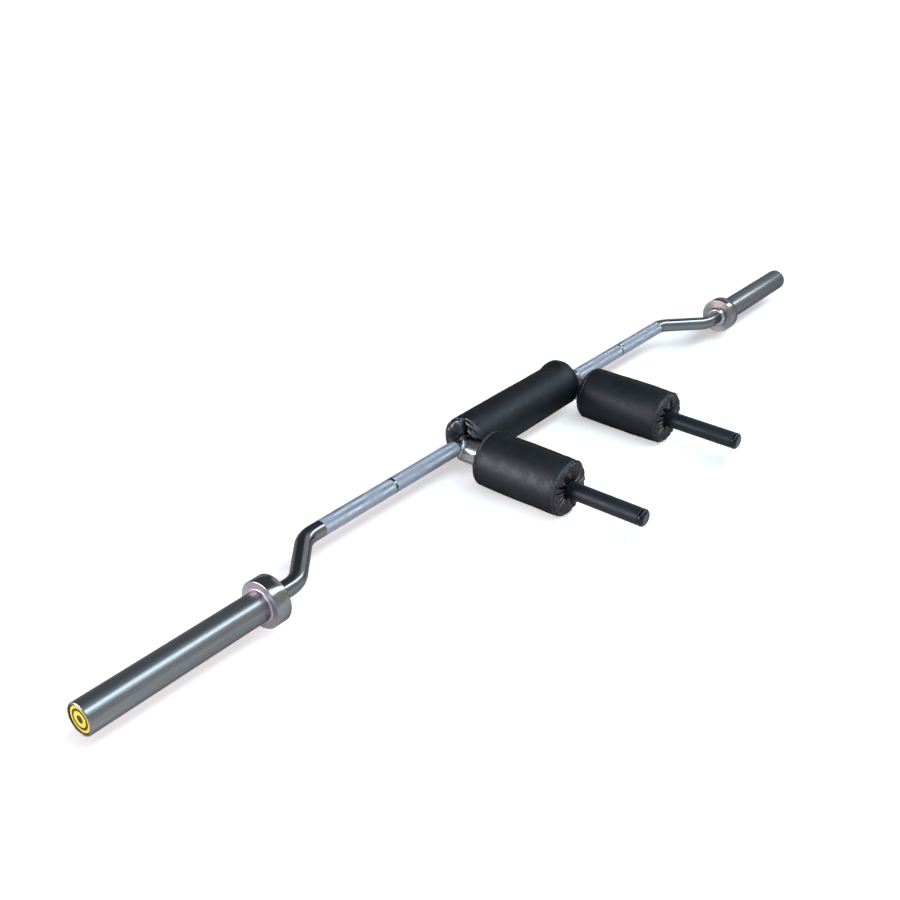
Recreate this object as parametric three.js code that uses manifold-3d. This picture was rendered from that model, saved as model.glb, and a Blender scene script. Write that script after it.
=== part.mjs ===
// Safety squat bar: a cambered weightlifting bar with two padded arms, a neck pad and two spinning sleeves.
// Millimetres, +Z up. X runs along the bar, and the arms point along -Y. The bar lies on its shoulder pads.
import * as THREE from "three";
import { mergeVertices } from "three/addons/utils/BufferGeometryUtils.js";
import Module from "manifold-3d";

const wasm = await Module();
wasm.setup();

// Clearances shared by all pieces
const touchGap = 0.3; // air between two pieces that touch
const overrun = 6; // how far a cutter runs past what it cuts
const weldTolerance = 1e-3; // vertices closer than this are one

// The whole bar
const barLength = 2200;
const camberForward = 71; // sleeve axis ahead of the shaft axis
const camberDrop = 4; // sleeve axis below the shaft axis

// Shaft: one round rod with two bends at each side
const shaftDiameter = 29.2;
const stubLength = 26; // straight run between the second bend and the stop collar
const bendRadius = 55;
const bendAngle = THREE.MathUtils.degToRad(36);
const bendSteps = 6;
const shaftSides = 28;
const journalDiameter = 28; // the turned-down end inside the sleeve
const journalInset = 22; // from the sleeve's end in to the journal's end
const journalChamfer = 1;
const ringGrooveInset = 5; // from the journal's end in to its groove
const ringGrooveDepth = 1.2;

// Sleeve: steel tube that the plates slide on
const sleeveDiameter = 50;
const sleeveBore = 38;
const sleeveLoadLength = 319; // from the collar's face to the end
const sleeveChamfer = 1.5;
const sleeveSides = 40;

// Sleeve collar: the ring that stops the plates
const collarDiameter = 78.8;
const collarThickness = 27.5;
const collarChamfer = 1.6;
const collarLip = 5; // thickness of the lip that covers the tube's inner end
const collarLipClearance = 1.2; // round the journal
const collarFillet = 2.6; // where the face meets the sleeve
const filletEdge = 0.4;

// Bronze bushings inside the sleeve
const bushingLength = 42;
const bushingInset = 1; // from the tube's inner end in to the inner bushing

// Stop collar, washers and snap ring that hold the sleeve on
const washerSides = 22;
const stopCollarDiameter = 45;
const stopCollarWidth = 11;
const stopCollarChamfer = 4;
const washerThickness = 1.2;
const thrustWasherDiameter = 42;
const snapRingThickness = 1.6;
const snapRingWidth = 3.2;
const snapRingOpening = THREE.MathUtils.degToRad(38);

// Plug and disc that close the sleeve's end
const plugFlangeDiameter = 43.4;
const plugFlangeThickness = 5;
const plugDepth = 16;
const plugInset = 0.6; // from the sleeve's end in to the plug's face
const discDiameter = 40.6;
const discThickness = 1.2;
const discRecess = 0.9;
const plugSides = 32;

// Arm: wide steel tube welded square to the shaft
const armOffset = 184.2; // from the middle to each arm's axis
const armDrop = 8.7; // arm axis below the shaft axis
const armDiameter = 48.3;
const armWall = 3;
const armRootInset = 2; // from the shaft axis forward to the arm's closed root
const armRootWall = 4;
const armSides = 36;
const weldDiameter = 7;
const weldSides = 6;
const weldSteps = 16;
const weldStart = THREE.MathUtils.degToRad(-6);

// Handle: tube held in a socket in the arm, with a rubber grip and an end cap
const handleReach = 388.6; // from the shaft axis to the cap's tip
const handleDiameter = 25.4;
const handleWall = 2.5;
const socketLength = 60;
const gripDiameter = 31.8;
const capLength = 9.5;
const capDiameter = 32.4;
const capEdge = 2.2;
const capPlugLength = 14;
const handleSides = 26;

// Shoulder pads: gathered vinyl covers over foam rings
const padDiameter = 108.2;
const padCrown = 0.4; // how much wider the middle is than the seams
const padInnerSeam = 58; // from the shaft axis to the seam nearer the shaft
const padOuterSeam = 231.4;
const padInnerBulge = 10; // how far the gathered end stands out past its seam
const padOuterBulge = 12;
const coverWall = 2.2;
const pleatDepth = 2.4;
const padPleats = 18;
const pleatColumns = 3; // columns of the mesh to each pleat
const restDepth = 0.5; // how deep the pads are flat where they rest

// Neck pad: gathered vinyl cover over a foam tube on the shaft
const neckDiameter = 92;
const neckRise = 5.4; // its middle above the shaft axis
const neckCrown = 0.8;
const neckHalf = 166; // from the middle to each seam
const neckBulge = 9;
const neckPleatDepth = 2.6;
const neckPleats = 14;
const neckRelief = 18; // how far the front of each end is drawn in, clear of the arm
const closureLength = 270;
const closureThickness = 1.6;
const closureSpan = THREE.MathUtils.degToRad(34);
const closureSteps = 8;

// Surface colours and finishes
const chrome = { color: 0xc4c8cf, roughness: 0.14, metalness: 1 };
const brushedSteel = { color: 0x8d8f92, roughness: 0.36, metalness: 0.9 };
const bronze = { color: 0xa9804a, roughness: 0.4, metalness: 0.9 };
const blackVinyl = { color: 0x16181c, roughness: 0.42, metalness: 0 };
const greyFoam = { color: 0x3a3a3c, roughness: 0.95, metalness: 0 };
const blackRubber = { color: 0x1b1b1f, roughness: 0.7, metalness: 0 };
const blackPlastic = { color: 0x121214, roughness: 0.45, metalness: 0 };
const yellowPlastic = { color: 0xe9b90e, roughness: 0.35, metalness: 0 };

// Places along X, worked out from the sleeve's end inwards
const barHalf = barLength / 2;
const collarOuterFace = barHalf - sleeveLoadLength;
const collarInnerFace = collarOuterFace - collarThickness;
const thrustWasherEnd = collarInnerFace - touchGap;
const shaftShoulder = thrustWasherEnd - washerThickness - touchGap;
const stubStart = shaftShoulder - stopCollarWidth - stubLength;
const tubeStart = collarInnerFace + collarLip + touchGap;
const journalEnd = barHalf - journalInset;
const ringGrooveEnd = journalEnd - ringGrooveInset;
const ringGrooveStart = ringGrooveEnd - snapRingThickness - touchGap * 2;
const endWasherEnd = ringGrooveStart;
const outerBushingEnd = endWasherEnd - washerThickness - touchGap;
const plugFace = barHalf - plugInset;
const plugSeat = plugFace - plugFlangeThickness - touchGap;

// Radii that several pieces share
const shaftRadius = shaftDiameter / 2;
const journalRadius = journalDiameter / 2;
const sleeveRadius = sleeveDiameter / 2;
const boreRadius = sleeveBore / 2;
const armRadius = armDiameter / 2;
const padRadius = padDiameter / 2;
const neckRadius = neckDiameter / 2;
const gripRadius = gripDiameter / 2;
const handleRadius = handleDiameter / 2;

// Turns an outline of [place along X, radius] points round the X axis.
function turned(outline, sides) {
  const points = outline.map(([along, radius]) => new THREE.Vector2(radius, along));
  return new THREE.LatheGeometry(points, sides).rotateZ(-Math.PI / 2);
}

// A plain ring round the X axis.
function ring(start, end, innerRadius, outerRadius, sides) {
  return turned(
    [
      [start, innerRadius],
      [start, outerRadius],
      [end, outerRadius],
      [end, innerRadius],
      [start, innerRadius],
    ],
    sides,
  );
}

// A solid rod along X.
function rod(start, end, radius, sides) {
  return turned(
    [
      [start, 0],
      [start, radius],
      [end, radius],
      [end, 0],
    ],
    sides,
  );
}

function toSolid(geometry) {
  const loose = geometry.index ? geometry.toNonIndexed() : geometry;
  const bare = new THREE.BufferGeometry().setAttribute("position", loose.getAttribute("position"));
  const merged = mergeVertices(bare, weldTolerance);
  return new wasm.Manifold(
    new wasm.Mesh({
      numProp: 3,
      vertProperties: merged.attributes.position.array,
      triVerts: merged.index.array,
    }),
  );
}

function toGeometry(solid) {
  const { vertProperties, triVerts } = solid.getMesh();
  const geometry = new THREE.BufferGeometry();
  geometry.setAttribute("position", new THREE.BufferAttribute(vertProperties, 3));
  geometry.setIndex(new THREE.BufferAttribute(triVerts, 1));
  geometry.computeVertexNormals();
  return geometry;
}

function piece(name, geometry, finish) {
  const mesh = new THREE.Mesh(geometry, new THREE.MeshStandardMaterial(finish));
  mesh.name = name;
  return mesh;
}

// A closed skin: rows of points round the X axis, the last row joined back to the first.
// The rows run from the +X end over the outside, or from the -X end where reversed is true.
function closedSkin(rows, columns, pointAt, reversed = false) {
  const positions = [];
  for (let row = 0; row < rows; row += 1) {
    for (let column = 0; column < columns; column += 1) {
      positions.push(...pointAt(row, (column / columns) * Math.PI * 2));
    }
  }
  const faces = [];
  for (let row = 0; row < rows; row += 1) {
    for (let column = 0; column < columns; column += 1) {
      const here = row * columns + column;
      const beside = row * columns + ((column + 1) % columns);
      const next = ((row + 1) % rows) * columns + column;
      const across = ((row + 1) % rows) * columns + ((column + 1) % columns);
      if (reversed) faces.push(here, beside, across, here, across, next);
      else faces.push(here, across, beside, here, next, across);
    }
  }
  const geometry = new THREE.BufferGeometry();
  geometry.setAttribute("position", new THREE.Float32BufferAttribute(positions, 3));
  geometry.setIndex(faces);
  geometry.computeVertexNormals();
  return geometry;
}

// Centre line of the shaft, with a station where each straight run ends and along each bend.
class BentLine extends THREE.Curve {
  constructor(stations) {
    super();
    this.stations = stations;
  }

  stationAt(share) {
    return this.stations[Math.round(share * (this.stations.length - 1))];
  }

  getPointAt(share) {
    return this.stationAt(share).point.clone();
  }

  getTangentAt(share) {
    return this.stationAt(share).tangent.clone();
  }
}

function shaftStations() {
  const reach = Math.hypot(camberForward, camberDrop);
  const sideways = new THREE.Vector3(0, -camberForward / reach, -camberDrop / reach);
  const tangentLength = bendRadius * Math.tan(bendAngle / 2);
  const firstBendStart = stubStart - tangentLength * 2 - reach / Math.tan(bendAngle);
  const right = [];
  const addStation = (along, out, angle) => {
    right.push({
      point: new THREE.Vector3(along, 0, 0).addScaledVector(sideways, out),
      tangent: new THREE.Vector3(Math.cos(angle), 0, 0).addScaledVector(sideways, Math.sin(angle)),
    });
  };
  for (let step = 0; step <= bendSteps; step += 1) {
    const angle = (bendAngle * step) / bendSteps;
    addStation(firstBendStart + bendRadius * Math.sin(angle), bendRadius * (1 - Math.cos(angle)), angle);
  }
  for (let step = bendSteps; step >= 0; step -= 1) {
    const angle = (bendAngle * step) / bendSteps;
    addStation(stubStart - bendRadius * Math.sin(angle), reach - bendRadius * (1 - Math.cos(angle)), angle);
  }
  addStation(shaftShoulder, reach, 0);
  const mirror = new THREE.Vector3(-1, 1, 1);
  const left = right
    .map(({ point, tangent }) => ({
      point: point.clone().multiply(mirror),
      tangent: tangent.clone().multiply(mirror).negate(),
    }))
    .reverse();
  return [...left, ...right];
}

function barShaft() {
  const section = new THREE.Shape();
  section.absarc(0, 0, shaftRadius, 0, Math.PI * 2);
  const stations = shaftStations();
  const rodGeometry = new THREE.ExtrudeGeometry(section, {
    steps: stations.length - 1,
    curveSegments: shaftSides / 2,
    bevelEnabled: false,
    extrudePath: new BentLine(stations),
  });
  const grooveRadius = journalRadius - ringGrooveDepth;
  const journal = turned(
    [
      [shaftShoulder - overrun, 0],
      [shaftShoulder - overrun, journalRadius],
      [ringGrooveStart, journalRadius],
      [ringGrooveStart, grooveRadius],
      [ringGrooveEnd, grooveRadius],
      [ringGrooveEnd, journalRadius],
      [journalEnd - journalChamfer, journalRadius],
      [journalEnd, journalRadius - journalChamfer],
      [journalEnd, 0],
    ],
    shaftSides,
  );
  const rightJournal = journal.clone().translate(0, -camberForward, -camberDrop);
  const leftJournal = journal.clone().rotateZ(Math.PI).translate(0, -camberForward, -camberDrop);
  return toGeometry(toSolid(rodGeometry).add(toSolid(rightJournal)).add(toSolid(leftJournal)));
}

// An open ring that snaps into the groove of the journal.
function snapRing() {
  const innerRadius = journalRadius - ringGrooveDepth + touchGap;
  const outerRadius = innerRadius + snapRingWidth;
  const from = snapRingOpening / 2;
  const to = Math.PI * 2 - from;
  const outline = new THREE.Shape();
  outline.absarc(0, 0, outerRadius, from, to);
  outline.absarc(0, 0, innerRadius, to, from, true);
  const geometry = new THREE.ExtrudeGeometry(outline, {
    depth: snapRingThickness,
    curveSegments: shaftSides / 2,
    bevelEnabled: false,
  });
  return geometry.rotateY(Math.PI / 2).translate(ringGrooveStart + touchGap, 0, 0);
}

// What the shaft carries at one side, in a frame on the sleeve's axis with X pointing outwards.
function shaftEndPieces(side) {
  const group = new THREE.Group();
  const stopInner = shaftShoulder - stopCollarWidth;
  const stopRadius = stopCollarDiameter / 2;
  const stopCollar = turned(
    [
      [stopInner, shaftRadius + touchGap],
      [stopInner, stopRadius - stopCollarChamfer],
      [stopInner + stopCollarChamfer, stopRadius],
      [shaftShoulder, stopRadius],
      [shaftShoulder, shaftRadius + touchGap],
      [stopInner, shaftRadius + touchGap],
    ],
    shaftSides,
  );
  const washerBore = journalRadius + touchGap;
  const thrustWasher = ring(
    thrustWasherEnd - washerThickness,
    thrustWasherEnd,
    washerBore,
    thrustWasherDiameter / 2,
    washerSides,
  );
  const endWasher = ring(
    endWasherEnd - washerThickness,
    endWasherEnd,
    washerBore,
    boreRadius - touchGap,
    washerSides,
  );
  group.add(piece(`stop_collar_${side}`, stopCollar, chrome));
  group.add(piece(`thrust_washer_${side}`, thrustWasher, bronze));
  group.add(piece(`end_washer_${side}`, endWasher, brushedSteel));
  group.add(piece(`snap_ring_${side}`, snapRing(), brushedSteel));
  return group;
}

// The spinning sleeve of one side, in the same frame.
function sleevePieces(side) {
  const group = new THREE.Group();
  const plugBore = plugFlangeDiameter / 2 + touchGap;
  const tube = turned(
    [
      [tubeStart, boreRadius],
      [tubeStart, sleeveRadius],
      [barHalf - sleeveChamfer, sleeveRadius],
      [barHalf, sleeveRadius - sleeveChamfer],
      [barHalf, plugBore],
      [plugSeat, plugBore],
      [plugSeat, boreRadius],
      [tubeStart, boreRadius],
    ],
    sleeveSides,
  );
  const collarRadius = collarDiameter / 2;
  const collarBore = sleeveRadius + touchGap;
  const lipBore = journalRadius + collarLipClearance;
  const lipEnd = collarInnerFace + collarLip;
  const collar = turned(
    [
      [collarInnerFace, lipBore],
      [collarInnerFace, collarRadius - collarChamfer],
      [collarInnerFace + collarChamfer, collarRadius],
      [collarOuterFace - collarChamfer, collarRadius],
      [collarOuterFace, collarRadius - collarChamfer],
      [collarOuterFace, collarBore + filletEdge + collarFillet],
      [collarOuterFace + collarFillet, collarBore + filletEdge],
      [collarOuterFace + collarFillet, collarBore],
      [lipEnd, collarBore],
      [lipEnd, lipBore],
      [collarInnerFace, lipBore],
    ],
    sleeveSides,
  );
  const bushing = (start) =>
    ring(start, start + bushingLength, journalRadius + touchGap, boreRadius - touchGap, washerSides);
  const discPocket = discDiameter / 2 + touchGap;
  const discSeat = plugFace - discRecess - discThickness;
  const plug = turned(
    [
      [barHalf - plugDepth, 0],
      [barHalf - plugDepth, boreRadius - touchGap],
      [plugSeat + touchGap, boreRadius - touchGap],
      [plugSeat + touchGap, plugFlangeDiameter / 2],
      [plugFace, plugFlangeDiameter / 2],
      [plugFace, discPocket],
      [discSeat - touchGap, discPocket],
      [discSeat - touchGap, 0],
    ],
    plugSides,
  );
  const disc = rod(discSeat, discSeat + discThickness, discDiameter / 2, plugSides);
  group.add(piece(`sleeve_tube_${side}`, tube, brushedSteel));
  group.add(piece(`sleeve_collar_${side}`, collar, brushedSteel));
  group.add(piece(`inner_bushing_${side}`, bushing(tubeStart + bushingInset), bronze));
  group.add(piece(`outer_bushing_${side}`, bushing(outerBushingEnd - bushingLength), bronze));
  group.add(piece(`end_plug_${side}`, plug, blackPlastic));
  group.add(piece(`end_disc_${side}`, disc, yellowPlastic));
  return group;
}

// The shaft as the arm sees it: across the arm, and above the arm's axis.
function shaftCutter() {
  const length = armDiameter + overrun * 2;
  const cutter = rod(-length / 2, length / 2, shaftRadius + touchGap, shaftSides);
  return toSolid(cutter.rotateZ(Math.PI / 2).translate(0, 0, armDrop));
}

// Arm tube: closed at its root, coped to fit round the shaft, open at its outer end.
function armTube() {
  const bore = armRadius - armWall;
  const end = padOuterSeam - touchGap;
  const tube = turned(
    [
      [armRootInset, 0],
      [armRootInset, armRadius],
      [end, armRadius],
      [end, bore],
      [armRootInset + armRootWall, bore],
      [armRootInset + armRootWall, 0],
    ],
    armSides,
  );
  return toGeometry(toSolid(tube).subtract(shaftCutter()));
}

// Weld bead: follows the line where the arm tube meets the shaft, over the top and down both flanks.
function weldBead() {
  const seam = [];
  for (let step = 0; step <= weldSteps; step += 1) {
    const angle = weldStart + ((Math.PI - weldStart * 2) * step) / weldSteps;
    const height = armRadius * Math.sin(angle) - armDrop;
    const forward = Math.sqrt(Math.max(shaftRadius ** 2 - height ** 2, armRootInset ** 2));
    seam.push(new THREE.Vector3(forward, armRadius * Math.cos(angle), armRadius * Math.sin(angle)));
  }
  const section = new THREE.Shape();
  section.absarc(0, 0, weldDiameter / 2, 0, Math.PI * 2);
  const bead = new THREE.ExtrudeGeometry(section, {
    steps: weldSteps,
    curveSegments: weldSides / 2,
    bevelEnabled: false,
    extrudePath: new THREE.CatmullRomCurve3(seam),
  });
  const armEnvelope = rod(
    armRootInset - touchGap,
    armRootInset + armDiameter,
    armRadius + touchGap,
    armSides,
  );
  return toGeometry(toSolid(bead).subtract(shaftCutter()).subtract(toSolid(armEnvelope)));
}

// Section of a gathered end, from its throat out to the seam:
// [share of the way out from the throat, share of the bulge, share of the pleat depth]
const gatherShares = [
  [0, 0.3, 0.2],
  [0.14, 0.8, 0.9],
  [0.42, 1, 1],
  [0.7, 0.94, 0.8],
  [0.9, 0.62, 0.4],
  [1, 0, 0],
];

// Rows of a padded cover, outer skin first and lining last.
function coverRows(shape) {
  const rows = [];
  const endRow = ([out, bulge, pleat], end) => {
    const { seam, throat, swell, outward } = end;
    return {
      seam,
      offset: swell * bulge * outward,
      pleat: pleat * outward,
      radius: throat + (shape.seamRadius - throat) * out,
    };
  };
  for (const shares of gatherShares) rows.push(endRow(shares, shape.far));
  for (const share of shape.sideShares) {
    rows.push({
      share,
      offset: 0,
      pleat: 0,
      radius: shape.seamRadius + shape.crown * (1 - (share * 2 - 1) ** 2),
    });
  }
  for (const shares of [...gatherShares].reverse()) rows.push(endRow(shares, shape.near));
  const plain = { offset: 0, pleat: 0, radius: shape.seamRadius - coverWall };
  rows.push({ ...plain, seam: shape.near.seam, radius: shape.near.throat });
  rows.push({ ...plain, seam: shape.near.seam });
  for (const share of shape.liningShares) rows.push({ ...plain, share });
  rows.push({ ...plain, seam: shape.far.seam });
  rows.push({ ...plain, seam: shape.far.seam, radius: shape.far.throat });
  return rows;
}

function shoulderCover() {
  const near = { seam: padInnerSeam, throat: armRadius + touchGap, swell: padInnerBulge, outward: -1 };
  const far = { seam: padOuterSeam, throat: gripRadius + touchGap, swell: padOuterBulge, outward: 1 };
  const rows = coverRows({
    seamRadius: padRadius - padCrown,
    crown: padCrown,
    sideShares: [0.8, 0.5, 0.2],
    liningShares: [],
    near,
    far,
  });
  const skin = closedSkin(rows.length, padPleats * pleatColumns, (row, angle) => {
    const { seam, share, offset, pleat, radius } = rows[row];
    const base = seam ?? THREE.MathUtils.lerp(near.seam, far.seam, share);
    const fold = pleatDepth * (0.5 - Math.cos(padPleats * angle) / 2);
    return [base + offset - pleat * fold, radius * Math.cos(angle), radius * Math.sin(angle)];
  });
  const floor = new THREE.BoxGeometry(
    padOuterSeam + padDiameter,
    padDiameter,
    padRadius,
  ).translate(padOuterSeam / 2, 0, restDepth - padRadius - padRadius / 2);
  return toGeometry(toSolid(skin).subtract(toSolid(floor)));
}

function shoulderFoam() {
  return ring(
    padInnerSeam + touchGap,
    padOuterSeam - touchGap,
    armRadius + touchGap,
    padRadius - padCrown - coverWall - touchGap,
    padPleats * 2,
  );
}

// One padded arm, in a frame on the arm's axis with X pointing forward.
function armPieces(side) {
  const group = new THREE.Group();
  const armEnd = padOuterSeam - touchGap;
  const capStart = handleReach - capLength;
  const handleEnd = capStart - touchGap;
  const handleBore = handleRadius - handleWall;
  const socket = ring(
    armEnd - socketLength,
    armEnd,
    handleRadius + touchGap,
    armRadius - armWall - touchGap,
    handleSides,
  );
  const handleTube = ring(armEnd - socketLength, handleEnd, handleBore, handleRadius, handleSides);
  const gripStart = padOuterSeam + touchGap;
  const grip = ring(gripStart, handleEnd, handleRadius + touchGap, gripRadius, handleSides);
  const capRadius = capDiameter / 2;
  const cap = turned(
    [
      [capStart - capPlugLength, 0],
      [capStart - capPlugLength, handleBore - touchGap],
      [capStart, handleBore - touchGap],
      [capStart, capRadius],
      [handleReach - capEdge, capRadius],
      [handleReach, capRadius - capEdge],
      [handleReach, 0],
    ],
    handleSides,
  );
  group.add(piece(`arm_tube_${side}`, armTube(), chrome));
  group.add(piece(`weld_bead_${side}`, weldBead(), chrome));
  group.add(piece(`handle_socket_${side}`, socket, brushedSteel));
  group.add(piece(`handle_tube_${side}`, handleTube, brushedSteel));
  group.add(piece(`handle_grip_${side}`, grip, blackRubber));
  group.add(piece(`handle_cap_${side}`, cap, blackPlastic));
  group.add(piece(`shoulder_foam_${side}`, shoulderFoam(), greyFoam));
  group.add(piece(`shoulder_cover_${side}`, shoulderCover(), blackVinyl));
  return group;
}

// How much of the neck pad's end is drawn in at an angle: all of it in front of the shaft and below, where the arm is.
const reliefShares = { fadeIn: 0.3, full: 0.39, fade: 0.745, fadeOut: 0.83 }; // of a full turn from the back
function neckReliefAt(angle) {
  const turn = angle / (Math.PI * 2);
  const { fadeIn, full, fade, fadeOut } = reliefShares;
  const rising = THREE.MathUtils.smoothstep(turn, fadeIn, full);
  const falling = THREE.MathUtils.smoothstep(turn, fade, fadeOut);
  return neckRelief * (rising - falling);
}

// A point of the neck pad: its ends draw in at the front, and its body rides above the shaft.
function neckPoint(along, radius, angle, throat) {
  const reach = Math.abs(along) / neckHalf;
  const x = along - Math.sign(along) * neckReliefAt(angle) * Math.min(reach, 1);
  const outShare = (radius - throat) / (neckRadius - throat);
  return [x, radius * Math.cos(angle), radius * Math.sin(angle) + neckRise * outShare];
}

// Rows of the neck pad's side, as shares of the way from its left seam to its right.
const neckSideShares = [0.92, 0.75, 0.5, 0.25, 0.08];

function neckCover() {
  const throat = shaftRadius + touchGap;
  const near = { seam: -neckHalf, throat, swell: neckBulge, outward: -1 };
  const far = { seam: neckHalf, throat, swell: neckBulge, outward: 1 };
  const rows = coverRows({
    seamRadius: neckRadius - neckCrown,
    crown: neckCrown,
    sideShares: neckSideShares,
    liningShares: [...neckSideShares].reverse(),
    near,
    far,
  });
  return closedSkin(rows.length, neckPleats * pleatColumns, (row, angle) => {
    const { seam, share, offset, pleat, radius } = rows[row];
    const base = seam ?? THREE.MathUtils.lerp(near.seam, far.seam, share);
    const fold = neckPleatDepth * (0.5 - Math.cos(neckPleats * angle) / 2);
    const along = base + offset - pleat * fold;
    return neckPoint(along, radius, angle, throat);
  });
}

function neckFoam() {
  const throat = shaftRadius + touchGap;
  const outer = neckRadius - neckCrown - coverWall - touchGap;
  const end = neckHalf - touchGap;
  const sideRows = neckSideShares.map((share) => [(share * 2 - 1) * neckHalf, outer]).reverse();
  const outline = [[-end, throat], [-end, outer], ...sideRows, [end, outer], [end, throat]];
  const pointAt = (row, angle) => neckPoint(outline[row][0], outline[row][1], angle, throat);
  return closedSkin(outline.length, neckPleats * pleatColumns, pointAt, true);
}

// Hook-and-loop strip that holds the neck pad's cover shut along its underside.
function neckClosure() {
  const innerRadius = neckRadius + touchGap;
  const outerRadius = innerRadius + closureThickness;
  const from = (Math.PI * 3 - closureSpan) / 2;
  const to = (Math.PI * 3 + closureSpan) / 2;
  const outline = new THREE.Shape();
  outline.absarc(0, 0, outerRadius, from, to);
  outline.absarc(0, 0, innerRadius, to, from, true);
  const strip = new THREE.ExtrudeGeometry(outline, {
    depth: closureLength,
    curveSegments: closureSteps,
    bevelEnabled: false,
  });
  return strip
    .translate(0, 0, -closureLength / 2)
    .rotateZ(Math.PI / 2)
    .rotateY(Math.PI / 2)
    .translate(0, 0, neckRise);
}

// Assembly, in a frame on the middle of the shaft's axis
const assembly = new THREE.Group();
assembly.add(piece("bar_shaft", barShaft(), chrome));
assembly.add(piece("neck_foam", neckFoam(), greyFoam));
assembly.add(piece("neck_cover", neckCover(), blackVinyl));
assembly.add(piece("neck_closure", neckClosure(), blackVinyl));
for (const [side, sign] of [["left", -1], ["right", 1]]) {
  const arm = armPieces(side);
  arm.position.set(sign * armOffset, 0, -armDrop);
  arm.rotation.z = -Math.PI / 2;
  assembly.add(arm);
  for (const group of [shaftEndPieces(side), sleevePieces(side)]) {
    group.position.set(0, -camberForward, -camberDrop);
    group.rotation.z = sign > 0 ? 0 : Math.PI;
    assembly.add(group);
  }
}

// The part's frame: the origin is under the middle of the bar's box, on the surface that the pads rest on.
assembly.updateMatrixWorld(true);
const box = new THREE.Box3().setFromObject(assembly, true);
const middle = box.getCenter(new THREE.Vector3());
assembly.position.set(0, -middle.y, -box.min.z);

const bar = new THREE.Group();
bar.add(assembly);
export default bar;
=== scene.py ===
# Safety squat bar, dressed: metres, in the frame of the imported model. X runs along the bar, handles along -Y.
import math
import random

import bmesh
import bpy
import numpy as np
from mathutils import Matrix, Quaternion, Vector, noise


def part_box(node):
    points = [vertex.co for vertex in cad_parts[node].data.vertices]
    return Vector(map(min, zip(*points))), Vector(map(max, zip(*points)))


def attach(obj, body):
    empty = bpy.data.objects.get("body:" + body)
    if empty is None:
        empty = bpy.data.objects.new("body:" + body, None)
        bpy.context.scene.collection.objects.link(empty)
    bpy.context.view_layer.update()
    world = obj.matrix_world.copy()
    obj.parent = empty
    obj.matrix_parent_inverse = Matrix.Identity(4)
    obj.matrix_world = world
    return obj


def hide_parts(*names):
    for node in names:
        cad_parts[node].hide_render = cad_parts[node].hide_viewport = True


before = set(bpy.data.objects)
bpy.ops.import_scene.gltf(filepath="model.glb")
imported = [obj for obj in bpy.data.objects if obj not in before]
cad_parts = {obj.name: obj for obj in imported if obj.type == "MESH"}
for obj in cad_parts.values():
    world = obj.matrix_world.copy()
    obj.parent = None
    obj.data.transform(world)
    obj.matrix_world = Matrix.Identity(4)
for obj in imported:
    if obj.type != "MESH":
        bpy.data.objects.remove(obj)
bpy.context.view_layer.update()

# Camera, standing in front of the left sleeve and above it. It is placed from the middle of the shaft's axis,
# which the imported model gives, and its view is nearly that of a normal lens.
MM = 0.001
shaft_radius = 14.6 * MM
shaft_low, shaft_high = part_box("bar_shaft")
shaft_middle = Vector((0, shaft_high.y - shaft_radius, shaft_high.z - shaft_radius))
camera_offset = Vector((-1.7283, -1.0934, 1.0102))
camera_azimuth = math.radians(-53.966)
camera_elevation = math.radians(28.457)
camera_roll = math.radians(2.41)
camera_data = bpy.data.cameras.new("camera")
camera_data.sensor_width = 36
camera_data.lens = 45.892
camera = bpy.data.objects.new("camera", camera_data)
bpy.context.scene.collection.objects.link(camera)
backward = Vector((
    math.sin(camera_azimuth) * math.cos(camera_elevation),
    -math.cos(camera_azimuth) * math.cos(camera_elevation),
    math.sin(camera_elevation),
))
camera.location = shaft_middle + camera_offset
camera.rotation_mode = "QUATERNION"
camera.rotation_quaternion = (-backward).to_track_quat("-Z", "Y") @ Quaternion((0, 0, 1), camera_roll)
bpy.context.scene.camera = camera
bpy.context.scene.view_settings.view_transform = "Standard"


# Studio: a white floor under the pads, a long strip lamp above and in front of the bar, and a soft side lamp
# beyond its left end. The surroundings are dim but for the horizon and for pale walls to the right and in
# front, which give the metal its dark and light bands.
def linear(hex_colour):
    """A colour written as sRGB hex, as the linear values that shaders use."""
    channels = [int(hex_colour[i:i + 2], 16) / 255 for i in (1, 3, 5)]
    return tuple(c / 12.92 if c <= 0.04045 else ((c + 0.055) / 1.055) ** 2.4 for c in channels) + (1.0,)


def add_node(tree, kind, settings=None, links=None):
    """Adds a shader node with its settings and links, and returns its outputs."""
    made = tree.nodes.new("ShaderNode" + kind)
    for name, value in (settings or {}).items():
        if isinstance(name, str) and hasattr(made, name):
            setattr(made, name, value)
        else:
            made.inputs[name].default_value = value
    for name, socket in (links or {}).items():
        tree.links.new(socket, made.inputs[name])
    return made.outputs


def new_material(name):
    """A material whose node tree is still empty, and the tree."""
    material = bpy.data.materials.new(name)
    material.use_nodes = True
    material.node_tree.nodes.clear()
    return material, material.node_tree


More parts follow.
